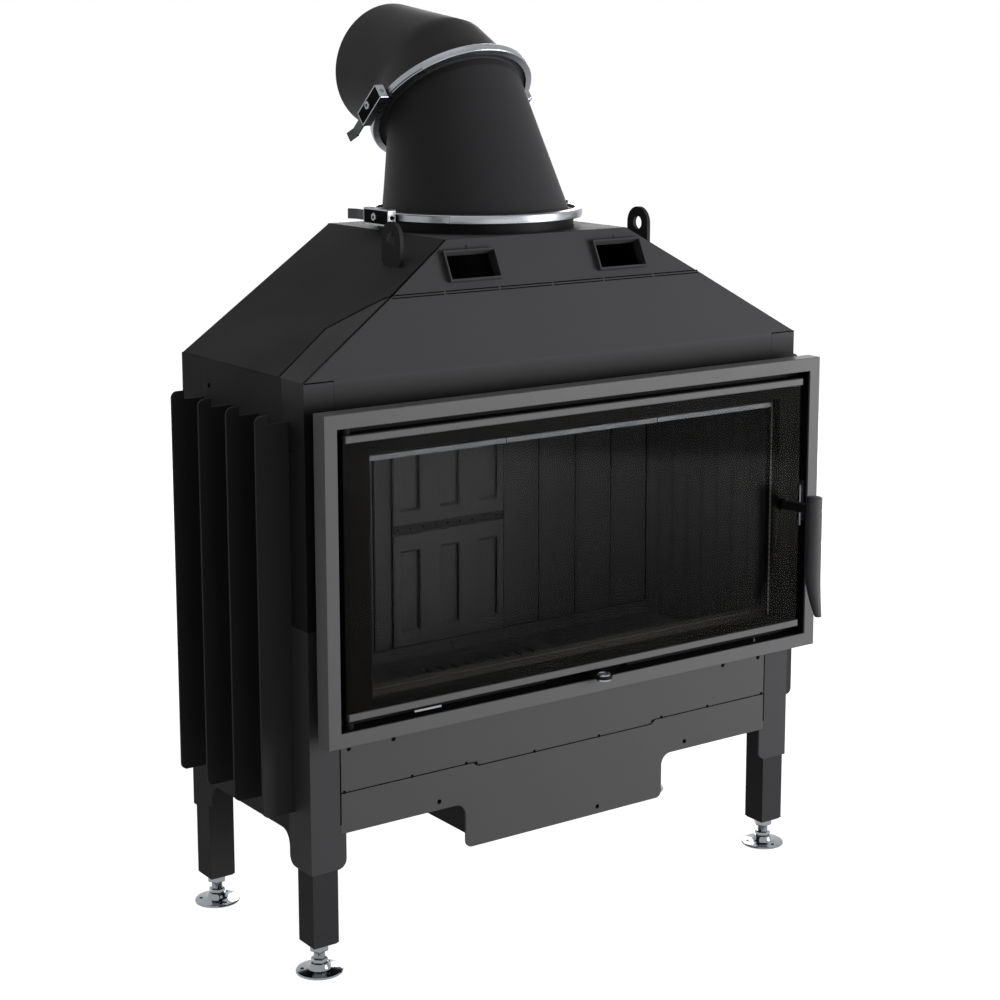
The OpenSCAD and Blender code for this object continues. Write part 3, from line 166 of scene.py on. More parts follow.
# %% [markdown]
# ## Colours and finishes
# Colours are written as sRGB hex values and turned linear by one function. Each finish is a
# node tree on Object coordinates, with pattern sizes in real millimetres: paint has a fine
# orange-peel grain, cast and moulded parts a coarser one, and sheet metal a rolled grain.


# %% Colour and the shared finish function
def linear(code):
    """sRGB hex to linear RGBA: c/12.92 below 0.04045, else ((c+0.055)/1.055)^2.4."""
    c = np.array([int(code[i:i + 2], 16) for i in (1, 3, 5)]) / 255.0
    rgb = np.where(c <= 0.04045, c / 12.92, ((c + 0.055) / 1.055) ** 2.4)
    return (*rgb.tolist(), 1.0)


def blank_material(name):
    """A new material and its emptied node tree."""
    mat = bpy.data.materials.new(name)
    mat.use_nodes = True
    mat.node_tree.nodes.clear()
    return mat, mat.node_tree


PAINTED_SHADE_SHARE = 0.22  # share of the paint's colour kept where the painted shade is darkest
PAINTED_SHADE_REACH = 0.3  # metres: further than this below the band of painted shade the paint is plain again


def finish(name, low, high, rough=(0.5, 0.6), metallic=0.0, grain_mm=1.2, bump_mm=0.03,
           patch_mm=90.0, stretch=(1.0, 1.0, 1.0), edge_mm=0.0, specular=0.2, painted_shade_band=None):
    """A paint or metal: a slow patch pattern mixes two near colours and two roughnesses, and a
    fine grain, its period in mm, drives the bump. stretch draws the grain out into rolled lines,
    edge_mm rounds the edges in the shading. The last argument gives two heights in mm of painted
    shade: the paint is darkest at the first and plain at the second."""
    mat, tree = blank_material(name)
    at = link_node(tree, "ShaderNodeTexCoord")
    drawn = link_node(tree, "ShaderNodeMapping", {}, {"Scale": stretch},
                      {"Vector": at.outputs["Object"]})
    patch = link_node(tree, "ShaderNodeTexNoise", {},
                      {"Scale": MM / patch_mm, "Detail": 3.0, "Roughness": 0.55},
                      {"Vector": drawn.outputs[0]})
    grain = link_node(tree, "ShaderNodeTexNoise", {},
                      {"Scale": MM / grain_mm, "Detail": 2.0, "Roughness": 0.5},
                      {"Vector": drawn.outputs[0]})
    colour = link_node(tree, "ShaderNodeMix", {"data_type": "RGBA"}, {}, {0: patch.outputs[0]})
    colour.inputs[6].default_value = linear(low)
    colour.inputs[7].default_value = linear(high)
    if painted_shade_band:
        # painted shade: the colour is multiplied down towards the band's lower height
        spot = link_node(tree, "ShaderNodeSeparateXYZ", {}, {}, {0: at.outputs["Object"]})
        ramp = link_node(tree, "ShaderNodeMapRange", {},
                         {"From Min": painted_shade_band[0] / MM, "From Max": painted_shade_band[1] / MM,
                          "To Min": PAINTED_SHADE_SHARE, "To Max": 1.0}, {"Value": spot.outputs[2]})
        below = link_node(tree, "ShaderNodeMath", {"operation": "LESS_THAN"},
                          {1: painted_shade_band[0] / MM - PAINTED_SHADE_REACH}, {0: spot.outputs[2]})
        level = link_node(tree, "ShaderNodeMath", {"operation": "MAXIMUM"}, {},
                          {0: ramp.outputs[0], 1: below.outputs[0]})
        colour = link_node(tree, "ShaderNodeMix", {"data_type": "RGBA", "blend_type": "MULTIPLY"},
                           {0: 1.0}, {6: colour.outputs[2], 7: level.outputs[0]})
    roughness = link_node(tree, "ShaderNodeMapRange", {},
                          {"From Min": 0.3, "From Max": 0.7, "To Min": rough[0],
                           "To Max": rough[1]}, {"Value": patch.outputs[0]})
    bump = link_node(tree, "ShaderNodeBump", {}, {"Strength": 0.6, "Distance": bump_mm / MM},
                     {"Height": grain.outputs[0]})
    if edge_mm:
        edge = link_node(tree, "ShaderNodeBevel", {"samples": 4}, {"Radius": edge_mm / MM})
        tree.links.new(edge.outputs[0], bump.inputs["Normal"])
    shader = link_node(tree, "ShaderNodeBsdfPrincipled", {},
                       {"Metallic": metallic, "Specular IOR Level": specular},
                       {"Base Color": colour.outputs[2], "Roughness": roughness.outputs[0],
                        "Normal": bump.outputs[0]})
    link_node(tree, "ShaderNodeOutputMaterial", {}, {}, {"Surface": shader.outputs[0]})
    return mat


# %% [markdown]
# ## Paints
# The jacket is steel sheet with heat-resistant silicone paint, sprayed and stoved: black-grey
# and matt, with an even grain of about a millimetre. The front frame and the lower panel get
# a smoother coat with a little gloss, and their colour is written lighter, as painted sheen.
# The sides, rear and fins get the same paint written darker, as painted shade. Real paint
# grain is finer than the render can show, so it is drawn at 0.7 to 1.4 mm.

# %% Paints
STOVED = dict(rough=(0.56, 0.66), grain_mm=1.1, bump_mm=0.02, patch_mm=140.0, edge_mm=0.8)
# stoved silicone paint on sheet steel: matt, so a plate shows its tilt and no mirror image
jacket_paint = finish("stoved_black_paint", "#505052", "#555557", **STOVED, specular=0.08)
# painted shade: the jacket paint written darker and duller for the sides, rear, eyes, fins, air box
# and legs
side_paint = finish("stoved_black_paint_painted_shade_on_sides", "#424244", "#474749",
                    **dict(STOVED, rough=(0.6, 0.7)), specular=0.04)
# painted shade: the same paint on the strip above the door, darkest at the frame's top and plain at
# the fold above
hood_paint_painted_shade = finish("black_paint_with_painted_shade_above_door", "#505052", "#555557", **STOVED, specular=0.08,
                    painted_shade_band=(792.0, 828.0))
# fine-textured satin powder coat: a soft broad sheen towards the lamps; its colour is also written
# lighter than the jacket's, as painted sheen
frame_paint = finish("satin_frame_paint_with_painted_sheen", "#69696b", "#6d6d6e", (0.42, 0.5), grain_mm=0.7,
                     bump_mm=0.008, patch_mm=160.0, edge_mm=0.6, specular=0.2)
# painted sheen: the panel's colour is written a little lighter than the jacket's
panel_paint = finish("satin_panel_paint_with_painted_sheen", "#585859", "#5d5d5e", (0.5, 0.58), grain_mm=0.9,
                     bump_mm=0.012, patch_mm=160.0, edge_mm=0.5, specular=0.15)
grip_paint = finish("powder_coated_grip", "#4a4a4d", "#525255", (0.4, 0.5), grain_mm=0.8,
                    bump_mm=0.012, patch_mm=80.0)
# painted shade: the same paint written near black, for the surround, firebox and other parts in
# unlit recesses; the hinge pins, handle shaft and flue neck take it too
shade_paint = finish("painted_shade_black_paint", "#0b0b0c", "#0f0f10", (0.5, 0.62), grain_mm=1.1,
                     bump_mm=0.02, patch_mm=120.0, edge_mm=0.5, specular=0.1)
# painted shade and soot: one flat black for cuts, holes and hollows seen into, the inside of the
# latch box, and the soot of the lining's joints
shade_and_soot_black = finish("painted_shade_and_soot_black", "#050505", "#080808", (0.8, 0.9), grain_mm=1.1,
                   bump_mm=0.01, patch_mm=60.0, specular=0.05)
# hand-sprayed flue paint: a slightly coarser, rougher film
flue_paint = finish("sprayed_flue_paint", "#38383a", "#3e3e40", (0.52, 0.62), grain_mm=1.4,
                    bump_mm=0.04, patch_mm=110.0, specular=0.1)
print("paints:", len(bpy.data.materials))

# %% [markdown]
# ## Lining, cast iron and boards
# The lining is pressed firebrick with dark pigment: dull and nearly grainless from a step
# away. The grate is sand cast, with a coarse skin, and the smoke board is pressed mineral.

# %% Lining and castings
# pressed pigmented firebrick: dull, with softly rounded edges
BRICK = dict(rough=(0.7, 0.85), grain_mm=1.6, bump_mm=0.02, patch_mm=60.0, edge_mm=1.5,
             specular=0.1)
lining = finish("moulded_firebrick", "#2a2a2a", "#323232", **BRICK)
slab = finish("moulded_hearth_slab", "#2b2b2b", "#333333", **BRICK)
# the sill is a dull brown, a shade lighter than the lining
sill_brick = finish("dull_brown_sill_brick", "#36342f", "#403e38", **BRICK)
# the same brick, pressed in a separate mould, fires a shade lighter
plate_brick = finish("moulded_rear_plate", "#313131", "#383838", **BRICK)
# sand-cast grey iron: a coarse pebbled skin with a dull metal sheen
cast = finish("cast_grate_iron", "#1d1d1e", "#262627", (0.55, 0.7), metallic=0.3, grain_mm=2.6,
              bump_mm=0.1, patch_mm=40.0, edge_mm=1.0)
# pressed vermiculite-like board: pale brown, flaky and quite matt
board = finish("pressed_mineral_board", "#7b756b", "#8a847a", (0.85, 0.95), grain_mm=3.0,
               bump_mm=0.3, patch_mm=30.0, edge_mm=1.0)
print("with lining and castings:", len(bpy.data.materials))

# %% [markdown]
# ## Bare metals
# The band clamps are bright stainless strip whose rolled grain runs round the band, the feet
# and the knob are chrome plated, and the air guides are dull rolled sheet.

# %% Bare metals
# cold-rolled sheet, a little oxidised by heat: grey, with fine level grain
rolled = finish("rolled_dull_sheet", "#434547", "#4e5052", (0.42, 0.55), metallic=0.6,
                grain_mm=0.8, bump_mm=0.01, patch_mm=50.0, stretch=(1.0, 1.0, 14.0), edge_mm=0.4)
# bright-annealed stainless strip: mirrors the studio in soft bands
stainless = finish("bright_stainless_sheet", "#83868a", "#9a9da1", (0.24, 0.36), metallic=1.0,
                   grain_mm=0.9, bump_mm=0.008, patch_mm=40.0, stretch=(1.0, 1.0, 10.0))
# polished chrome plating: sharp mirror with a faint blue cast
polished = finish("polished_chrome_plating", "#85888c", "#969a9e", (0.08, 0.16), metallic=1.0,
                  grain_mm=3.0, bump_mm=0.003, patch_mm=60.0)
print("all finishes:", len(bpy.data.materials))

# %% [markdown]
# ## Rope seal and glass
# Rope seals are braided from glass fibre: two crossed wave patterns, 3 mm apart, give the
# braid. The door's pane is glass ceramic. Its IOR is set far below the real 1.5, because at
# that value the white studio is mirrored in the pane and hides the dark lining, which the
# photograph shows clearly.

# %% Braided rope and the glass
BRAID_MM = 3.0


def braided_rope():
    """Colour and bump from two wave patterns, turned against each other, BRAID_MM apart."""
    mat, tree = blank_material("braided_glass_fibre_rope")
    at = link_node(tree, "ShaderNodeTexCoord")
    waves = []
    for turn in (0.8, -0.8):
        turned = link_node(tree, "ShaderNodeMapping", {}, {"Rotation": (0.0, turn, 0.0)},
                           {"Vector": at.outputs["Object"]})
        waves.append(link_node(tree, "ShaderNodeTexWave", {},
                               {"Scale": MM / BRAID_MM / math.tau, "Distortion": 1.0},
                               {"Vector": turned.outputs[0]}))
    weave = link_node(tree, "ShaderNodeMath", {"operation": "MULTIPLY"}, {},
                      {0: waves[0].outputs["Fac"], 1: waves[1].outputs["Fac"]})
    colour = link_node(tree, "ShaderNodeMix", {"data_type": "RGBA"}, {}, {0: weave.outputs[0]})
    colour.inputs[6].default_value = linear("#4a4844")
    colour.inputs[7].default_value = linear("#77736c")
    bump = link_node(tree, "ShaderNodeBump", {}, {"Strength": 0.8, "Distance": 0.6 / MM},
                     {"Height": weave.outputs[0]})
    shader = link_node(tree, "ShaderNodeBsdfPrincipled", {}, {"Roughness": 0.9},
                       {"Base Color": colour.outputs[2], "Normal": bump.outputs[0]})
    link_node(tree, "ShaderNodeOutputMaterial", {}, {}, {"Surface": shader.outputs[0]})
    return mat


def clear_glass():
    """A faintly smoked pane: it passes light with a slight tint, also in its shadow, and its
    gloss varies slowly, over 160 mm, as rolled glass does."""
    mat, tree = blank_material("smoked_glass_ceramic")
    at = link_node(tree, "ShaderNodeTexCoord")
    ripple = link_node(tree, "ShaderNodeTexNoise", {}, {"Scale": MM / 160.0, "Detail": 1.0},
                       {"Vector": at.outputs["Object"]})
    rough = link_node(tree, "ShaderNodeMapRange", {}, {"To Min": 0.0, "To Max": 0.03},
                      {"Value": ripple.outputs[0]})
    shader = link_node(tree, "ShaderNodeBsdfPrincipled", {},
                       {"Base Color": linear("#e8e8e8"), "IOR": 1.09, "Transmission Weight": 1.0,
                        "Specular IOR Level": 0.3}, {"Roughness": rough.outputs[0]})
    clear = link_node(tree, "ShaderNodeBsdfTransparent", {}, {"Color": linear("#e2e2e2")})
    ray = link_node(tree, "ShaderNodeLightPath")
    mix = link_node(tree, "ShaderNodeMixShader", {}, {},
                    {0: ray.outputs["Is Shadow Ray"], 1: shader.outputs[0], 2: clear.outputs[0]})
    link_node(tree, "ShaderNodeOutputMaterial", {}, {}, {"Surface": mix.outputs[0]})
    return mat


rope = braided_rope()
glass = clear_glass()
# ceramic ink baked on the pane's border: smooth and nearly black, with a warm cast
print_black = finish("baked_black_glass_print", "#1d1b19", "#23211e", (0.14, 0.22),
                     grain_mm=0.6, bump_mm=0.002, patch_mm=200.0)
print("materials in all:", len(bpy.data.materials))

# %% [markdown]
# ## Carried-over plates
# Flat sheets and blocks need no new shape: the CAD solid is exact and only gets its finish.

# %% Finishes on the CAD nodes
WORN = (
    (side_paint, "side_wall_left side_wall_right rear_corners hood_side_left hood_side_right "
                 "rear_wall lifting_eyes fins_left fins_right air_box air_intake leg_tubes "
                 "leg_caps"),
    (hood_paint_painted_shade, "corner_cover_left corner_cover_right hood_front"),
    (jacket_paint, "hood_top air_outlets"),
    (panel_paint, "lower_panel"),
    (frame_paint, "front_frame door_rails"),
    (flue_paint, "flue_cone flue_elbow"),
    (grip_paint, "handle_grip"),
    (shade_paint, "surround seal_flange firebox air_bar air_lever door_frame hinge_pins "
                  "handle_shaft flue_neck"),
    (lining, "liner_left liner_right rear_liners"),
    (slab, "hearth_slabs"),
    (sill_brick, "front_sill"),
    (plate_brick, "rear_plate_upper rear_plate_lower"),
    (cast, "grate"),
    (board, "baffle"),
    (rolled, "air_lip ash_pan air_slide latch_plate clamp_lever_lower clamp_lever_upper"),
    (stainless, "door_catch latch_cam clamp_lower clamp_upper"),
    (polished, "lever_knob foot_front_left foot_front_right foot_rear_left foot_rear_right"),
    (glass, "door_glass"),
    (print_black, "glass_tape"),
    (rope, "door_rope"),
)
worn = {node: mat for mat, nodes in WORN for node in nodes.split()}
for node_name, obj in frame["nodes"].items():
    obj.data.materials.clear()
    obj.data.materials.append(worn[node_name])
print("nodes dressed:", len(worn))

# %% [markdown]
# ## Grids and pieces
# Every new piece is an array of points on a grid. One function makes the quads of a grid, and
# one puts arrays into a mesh. Places come from the frame: a node's box, or the point that a
# joint turns about.


# %% Grids and pieces
def behind_front(point):
    """A point of the frame, in metres, as (x, d, z) in mm, rounded to a hundredth."""
    return np.round(np.array(point, float) * MM - [0.0, FRONT, 0.0], 2)


def box_mm(node):
    """A CAD node's lowest and highest corner as (x, d, z) in mm."""
    return [behind_front(corner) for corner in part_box(node)]


def grid_quads(rows, cols, close_rows=False, close_cols=False):
    """Quads of a rows by cols grid: corner (i, j) joins (i, j+1), (i+1, j+1), (i+1, j)."""
    i = np.arange(rows if close_rows else rows - 1)[:, None]
    j = np.arange(cols if close_cols else cols - 1)[None, :]
    a, b = i * cols + j, i * cols + (j + 1) % cols
    c, d = ((i + 1) % rows) * cols + (j + 1) % cols, ((i + 1) % rows) * cols + j
    return np.stack([a, b, c, d], -1).reshape(-1, 4)


MERGE_M = 2e-6  # points closer than this, in metres, are one


def piece(name, points, faces, mat, body, slot_name, sharp, stands_for=()):
    """A mesh piece from points in mm and faces: doubles merged, normals outwards, smooth
    except where faces meet at more than sharp degrees."""
    mesh = bpy.data.meshes.new(name)
    mesh.from_pydata(metres(points).tolist(), [], [list(map(int, f)) for f in faces])
    bm = bmesh.new()
    bm.from_mesh(mesh)
    bmesh.ops.remove_doubles(bm, verts=bm.verts, dist=MERGE_M)
    bmesh.ops.recalc_face_normals(bm, faces=bm.faces)
    bm.to_mesh(mesh)
    bm.free()
    mesh.polygons.foreach_set("use_smooth", np.ones(len(mesh.polygons), bool))
    mesh.set_sharp_from_angle(angle=math.radians(sharp))
    mesh.materials.append(mat)
    obj = bpy.data.objects.new(name, mesh)
    scene.collection.objects.link(obj)
    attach(obj, body)
    if stands_for:
        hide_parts(*stands_for)
    print(name, "on", body, "with", len(mesh.polygons), "faces")


def joined(*parts):
    """Several (points, faces) pairs as one pair."""
    points, faces, start = [], [], 0
    for p, f in parts:
        p = np.asarray(p, float).reshape(-1, 3)
        points.append(p)
        faces += [[int(k) + start for k in face] for face in f]
        start += len(p)
    return np.concatenate(points), faces


# %% [markdown]
# ## Turned and flat shapes
# A lathe turns a profile about an axis. Plates, bars and discs are flat shapes between two
# depths, with chamfered edges that catch the light.


# %% Lathe, plate, bar and disc
def angles(n):
    """n angles, evenly spaced round a circle."""
    return np.linspace(0, 2 * np.pi, n, endpoint=False)


def leaned(points, centre, lean):
    """Leans points about the origin back by lean degrees about x and moves them to centre:
    d' = d cos + z sin, z' = z cos - d sin."""
    t = math.radians(lean)
    x, d, z = np.asarray(points, float).T
    back = d * math.cos(t) + z * math.sin(t)
    up = -d * math.sin(t) + z * math.cos(t)
    return np.stack([x, back, up], -1) + np.array(centre, float)


def lathe(profile, centre=(0, 0, 0), sides=96, lean=0.0, start=0.0, sweep=360.0, close=False):
    """Turns a profile of (r, h) about the z axis leaned back by lean degrees: the point at
    angle a is centre + r cos a * x + r sin a * y' + h * z'. close joins the profile's end to
    its start."""
    prof = np.array(profile, float)
    whole = abs(sweep) >= 360.0
    a = np.radians(start + np.linspace(0.0, sweep, sides, endpoint=not whole))
    x = np.outer(np.cos(a), prof[:, 0])
    y = np.outer(np.sin(a), prof[:, 0])
    z = np.broadcast_to(prof[:, 1], x.shape)
    pts = np.stack([x, y, z], -1).reshape(-1, 3)
    faces = grid_quads(len(a), len(prof), whole, close).tolist()
    if close and not whole:
        n = len(prof)
        faces += [list(range(n))[::-1], [(len(a) - 1) * n + k for k in range(n)]]
    return leaned(pts, centre, lean), faces


def plate(outline, d0, d1, edge):
    """A plate between two depths, with an outline of (x, z) points. Its edges are chamfered
    by edge, towards the outline's middle."""
    o = np.array(outline, float)
    c = o.mean(0)
    inner = c + (o - c) * (1.0 - edge / np.maximum(np.abs(o - c).max(0), 1e-6))
    rings = [(inner, d0), (o, d0 + edge), (o, d1 - edge), (inner, d1)]
    pts = [np.stack([ring[:, 0], np.full(len(o), d), ring[:, 1]], -1) for ring, d in rings]
    n = len(o)
    ends = [list(range(n))[::-1], [3 * n + k for k in range(n)]]
    return np.concatenate(pts), grid_quads(4, n, False, True).tolist() + ends


def bar(x0, x1, d0, d1, z0, z1, edge):
    """A block with chamfered edges."""
    return plate([(x0, z0), (x1, z0), (x1, z1), (x0, z1)], d0, d1, edge)


def disc(x, z, radius, d0, d1, corners, edge):
    """A thin round plate about (x, z), between two depths."""
    a = angles(corners)
    return plate(np.stack([x + radius * np.cos(a), z + radius * np.sin(a)], -1), d0, d1, edge)


# %% [markdown]
# ## Front frame and door rails
# The frame is folded from one sheet: a flat border 20 mm wide with a return behind it. A
# closed section is carried round the rectangle of the opening, so that the corners are mitred.


# %% Front frame
def rectangle_sweep(section, half_w, z_low, z_high):
    """Carries a section of (s, d) round a rectangle: s is the distance outwards from the
    opening's edge, d the depth. Corner points are (+-(half_w + s), z_low - s or z_high + s)."""
    s, d = np.array(section, float).T
    corners = [(-1, 0), (1, 0), (1, 1), (-1, 1)]
    pts = [np.stack([sx * (half_w + s), d, np.where(top, z_high + s, z_low - s)], -1)
           for sx, top in corners]
    return np.concatenate(pts), grid_quads(4, len(s), True, True).tolist()


BORDER, RAIL = 20.0, 10.0  # width of the frame's face, and height of a door rail
low, high = box_mm("front_frame")
frame_section = [(0.7, 0.0), (BORDER - 0.7, 0.0), (BORDER, 0.7), (BORDER, high[1]),
                 (BORDER - 3.0, high[1]), (BORDER - 3.0, 3.0), (0.0, 3.0), (0.0, 0.7)]
border = rectangle_sweep(frame_section, high[0] - BORDER, low[2] + BORDER, high[2] - BORDER)
piece("front_border", *border, frame_paint, "casing", "frame", 20.0, ("front_frame",))

low, high = box_mm("door_rails")
rails = [bar(low[0], high[0], low[1], high[1], z, z + RAIL, 1.0)
         for z in (low[2], high[2] - RAIL)]
piece("bright_door_rails", *joined(*rails), frame_paint, "door", "frame", 20.0, ("door_rails",))

# %% [markdown]
# ## Outlet cone
# The cone is rolled from sheet: its base circle is level and its upper circle leans back by
# 41 degrees. Each point of the shell lies between matching points of the two circles.


# %% Outlet cone
JOINTS = {joint["name"]: joint for joint in frame["joints"]}
NECK = behind_front(JOINTS["outlet_turn"]["pos_m"])  # middle of the lower clamp
SWIVEL = behind_front(JOINTS["elbow_turn"]["pos_m"])  # middle of the upper clamp
SLANT = JOINTS["elbow_turn"]["axis"]
LEAN = round(math.degrees(math.atan2(SLANT[1], SLANT[2])), 2)
AXIS = np.array([0.0, math.sin(math.radians(LEAN)), math.cos(math.radians(LEAN))])
LOW_RIM, HIGH_RIM = box_mm("flue_cone")[1][0], box_mm("flue_elbow")[1][0]  # flange radii
GAP = 0.15  # from a clamp's middle to the flange on either side of it
BASE = NECK - [0.0, 0.0, GAP]
SHEET, SIDES = 2.7, 128  # the flue's sheet, and the points round each of its circles
print("swivel at", SWIVEL, "leaning back by", LEAN, "degrees")


def circle(centre, radius, lean):
    """Points of a circle whose plane leans back by lean degrees."""
    a = angles(SIDES)
    ring = np.stack([radius * np.cos(a), radius * np.sin(a), 0 * a], -1)
    return leaned(ring, centre, lean)


def cone_shell(low_r=139.5, high_r=109.0, steps=24):
    """Rings from the level base to the leaning top: point = (1-w) base + w top. The inner wall
    runs back down inside, smaller in radius by the sheet's thickness."""
    w = np.linspace(0, 1, steps)[:, None, None]
    foot, top = BASE + [0.0, 0.0, 1.5], SWIVEL - 16.5 * AXIS
    walls = [circle(foot, low_r - t, 0.0) * (1 - w) + circle(top, high_r - t, LEAN) * w
             for t in (0.0, SHEET)]
    pts = np.concatenate([walls[0], walls[1][::-1]])
    return pts.reshape(-1, 3), grid_quads(len(pts), SIDES, True, True).tolist()


upper = [(106.2, -17.5), (109.0, -17.5), (109.0, -5.5), (110.5, -4.0), (HIGH_RIM - 0.5, -3.6),
         (HIGH_RIM, -3.1), (HIGH_RIM, -0.6), (HIGH_RIM - 0.5, -GAP), (106.2, -GAP)]
lower = [(136.0, 0.3), (LOW_RIM - 0.4, 0.3), (LOW_RIM, 0.7), (LOW_RIM, 2.9),
         (LOW_RIM - 0.4, 3.3), (141.5, 3.3), (139.8, 5.0), (136.0, 5.0)]
cone = joined(cone_shell(), lathe(upper, SWIVEL, SIDES, LEAN, close=True),
              lathe(lower, BASE, SIDES, close=True))
piece("outlet_cone_shell", *cone, flue_paint, "outlet_cone", "jacket", 28.0, ("flue_cone",))

# %% [markdown]
# ## Bend and pipe
# A tapered piece and a straight pipe meet in one flat crease, because both touch the same
# ball about the bend's middle. Each line of the pipe runs to the crease, and from there a
# line runs on to the tip of the taper, which is where it meets the swivel's plane.

# %% Bend
PIPE_TILT, PIPE_R, PIPE_LONG = 8.0, 97.5, 147.0  # the pipe rises by 8 degrees to the rear
BEND_UP, TAPER_R = 41.0, 115.0  # the bend's middle over the swivel, the taper's radius there
PIPE = np.array([0.0, math.cos(math.radians(PIPE_TILT)), math.sin(math.radians(PIPE_TILT))])
BEND = SWIVEL + BEND_UP * AXIS
TAPER = math.acos(PIPE_R / math.hypot(TAPER_R, BEND_UP)) - math.atan2(BEND_UP, TAPER_R)


def bend_wall(radius):
    """Rows of points of one wall: foot on the swivel plane, crease, pipe end. With the tip
    T = r/sin(taper) along the swivel axis, the crease plane is x.(T + r/tan(taper) p) = r^2."""
    a = angles(SIDES)
    across = np.stack([radius * np.cos(a), -radius * np.sin(a) * PIPE[2],
                       radius * np.sin(a) * PIPE[1]], -1)
    tip = radius / math.sin(TAPER) * AXIS
    normal = tip + radius / math.tan(TAPER) * PIPE
    crease = across + ((radius ** 2 - across @ normal) / (PIPE @ normal))[:, None] * PIPE
    drop = crease - tip
    foot = tip + ((0.3 - BEND_UP - tip @ AXIS) / (drop @ AXIS))[:, None] * drop
    end = crease + (PIPE_LONG - crease @ PIPE)[:, None] * PIPE
    w = np.linspace(0, 1, 9)[:, None, None]
    taper, pipe = foot * (1 - w) + crease * w, crease * (1 - w) + end * w
    return np.concatenate([taper, pipe[1:]])


rows = np.concatenate([bend_wall(PIPE_R), bend_wall(PIPE_R - SHEET)[::-1]])
bend = (rows.reshape(-1, 3) + BEND, grid_quads(len(rows), SIDES, True, True).tolist())
lip = lathe([(111.0, GAP), (HIGH_RIM - 0.5, GAP), (HIGH_RIM, 0.6), (HIGH_RIM, 2.8),
             (HIGH_RIM - 0.5, 3.2), (116.0, 3.6), (111.0, 6.0)], SWIVEL, SIDES, LEAN,
            close=True)
piece("bend_and_pipe", *joined(bend, lip), flue_paint, "outlet_elbow", "jacket", 24.0,
      ("flue_elbow",))

# %% [markdown]
# ## Band clamps
# Each clamp is a bright sheet band with a rounded back that grips both flanges. Its two
# halves overlap at the closures: a latch box with a hexagon bolt at the left, black inside
# with painted shade, and a hinge barrel at the right.


# %% Band clamps
BAND_OUT = 4.5  # how far the band stands out from the flanges' rim
CLOSURE_OUT = 6.3  # and where the closures begin
BOX_W, BOX_SHEET = 14.0, 2.2  # how far the latch box stands out, and its sheet


def band(rim):
    """The clamp's section turned about its axis: a channel with sloping legs, crowned back."""
    out, leg, seat = rim + BAND_OUT, rim - 5.5, 3.6
    back = [(out - 1.2, -6.2), (out - 0.2, -5.0), (out, -3.2), (out + 0.25, 0.0),
            (out, 3.2), (out - 0.2, 5.0), (out - 1.2, 6.2)]
    inside = [(leg, seat), (rim + 0.3, seat), (rim + 0.3, -seat), (leg, -seat)]
    return [(leg, -7.0)] + back + [(leg, 7.0)] + inside


def closures(rim):
    """Latch box, bolt and hook at the left, hinge leaves and barrel at the right."""
    x = rim + CLOSURE_OUT
    parts = [bar(-x - BOX_W, -x + 2.2, -12.0, 12.0, -9.0, 9.0, 1.0)]
    for z in (-12.0, 12.0 - BOX_SHEET):
        parts.append(bar(-x - BOX_W, -x, -32.0, 35.0, z, z + BOX_SHEET, 0.8))
    for d in (-32.0, 35.0 - BOX_SHEET):
        parts.append(bar(-x - BOX_W, -x, d, d + BOX_SHEET, -12.0, 12.0, 0.8))
    rod = lathe([(0, 0), (3.5, 0), (3.5, 67.0), (0, 67.0)], sides=32)
    rod = (rod[0][:, [0, 2, 1]] + [-x - 7.0, -32.0, 0.0], rod[1])
    head = lathe([(0, 0), (5.6, 0), (6.2, 0.6), (6.2, 5.4), (5.6, 6.0), (3.0, 6.0), (3.0, 2.5),
                  (0, 2.5)], sides=6)
    head = (head[0][:, [2, 1, 0]] * [-1, 1, 1] + [-x - 12.5, 1.0, 0.0], head[1])
    nut = lathe([(0, 0), (6.4, 0), (7.0, 0.7), (7.0, 5.3), (6.4, 6.0), (0, 6.0)], sides=6)
    nut = (nut[0][:, [0, 2, 1]] + [-x - 7.0, 24.0, 0.0], nut[1])
    barrel = [(0, -10), (5.5, -10), (6, -9.5), (6, 9.5), (5.5, 10), (0, 10)]
    parts += [rod, head, nut, bar(x - 2.2, x + 3.0, -17.0, 17.0, -10.0, 10.0, 0.8),
              lathe(barrel, (x + 7.8, 8.5, 0), 40),
              bar(x + 3.0, x + 7.8, -17.0, 8.5, -7.5, 7.5, 0.8)]
    return joined(*parts)


def strap(rim, start):
    """The overlapping end of a band half: a thin arc of sheet, 34 degrees long."""
    out = rim + BAND_OUT
    section = [(out - 0.4, -5.2), (out + 1.5, -4.4), (out + 1.5, 4.4), (out - 0.4, 5.2)]
    return lathe(section, sides=24, start=start, sweep=34.0, close=True)


def clamp(name, rim, centre, lean, body, node):
    """A whole clamp: band, closures and two overlapping ends, about centre."""
    p, f = joined(lathe(band(rim), sides=144, close=True), closures(rim),
                  strap(rim, 188.0), strap(rim, 8.0))
    piece(name, leaned(p, centre, lean), f, stainless, body, "steel", 30.0, (node,))


def latch_shade(name, rim, centre, lean, body):
    """Painted shade in the latch box: black plates inside at both ends and on its outer face, so
    that the box looks deep."""
    x = rim + CLOSURE_OUT
    parts = [bar(-x - BOX_W + 1.4, -x - 1.0, d0, d1, -9.6, 9.6, 0.2)
             for d0, d1 in ((-29.6, -12.2), (12.2, 32.6))]
    parts.append(bar(-x - BOX_W - 0.6, -x - BOX_W - 0.1, -29.0, 32.0, -9.6, 9.6, 0.1))
    p, f = joined(*parts)
    piece(name, leaned(p, centre, lean), f, shade_and_soot_black, body, "dark", 30.0)


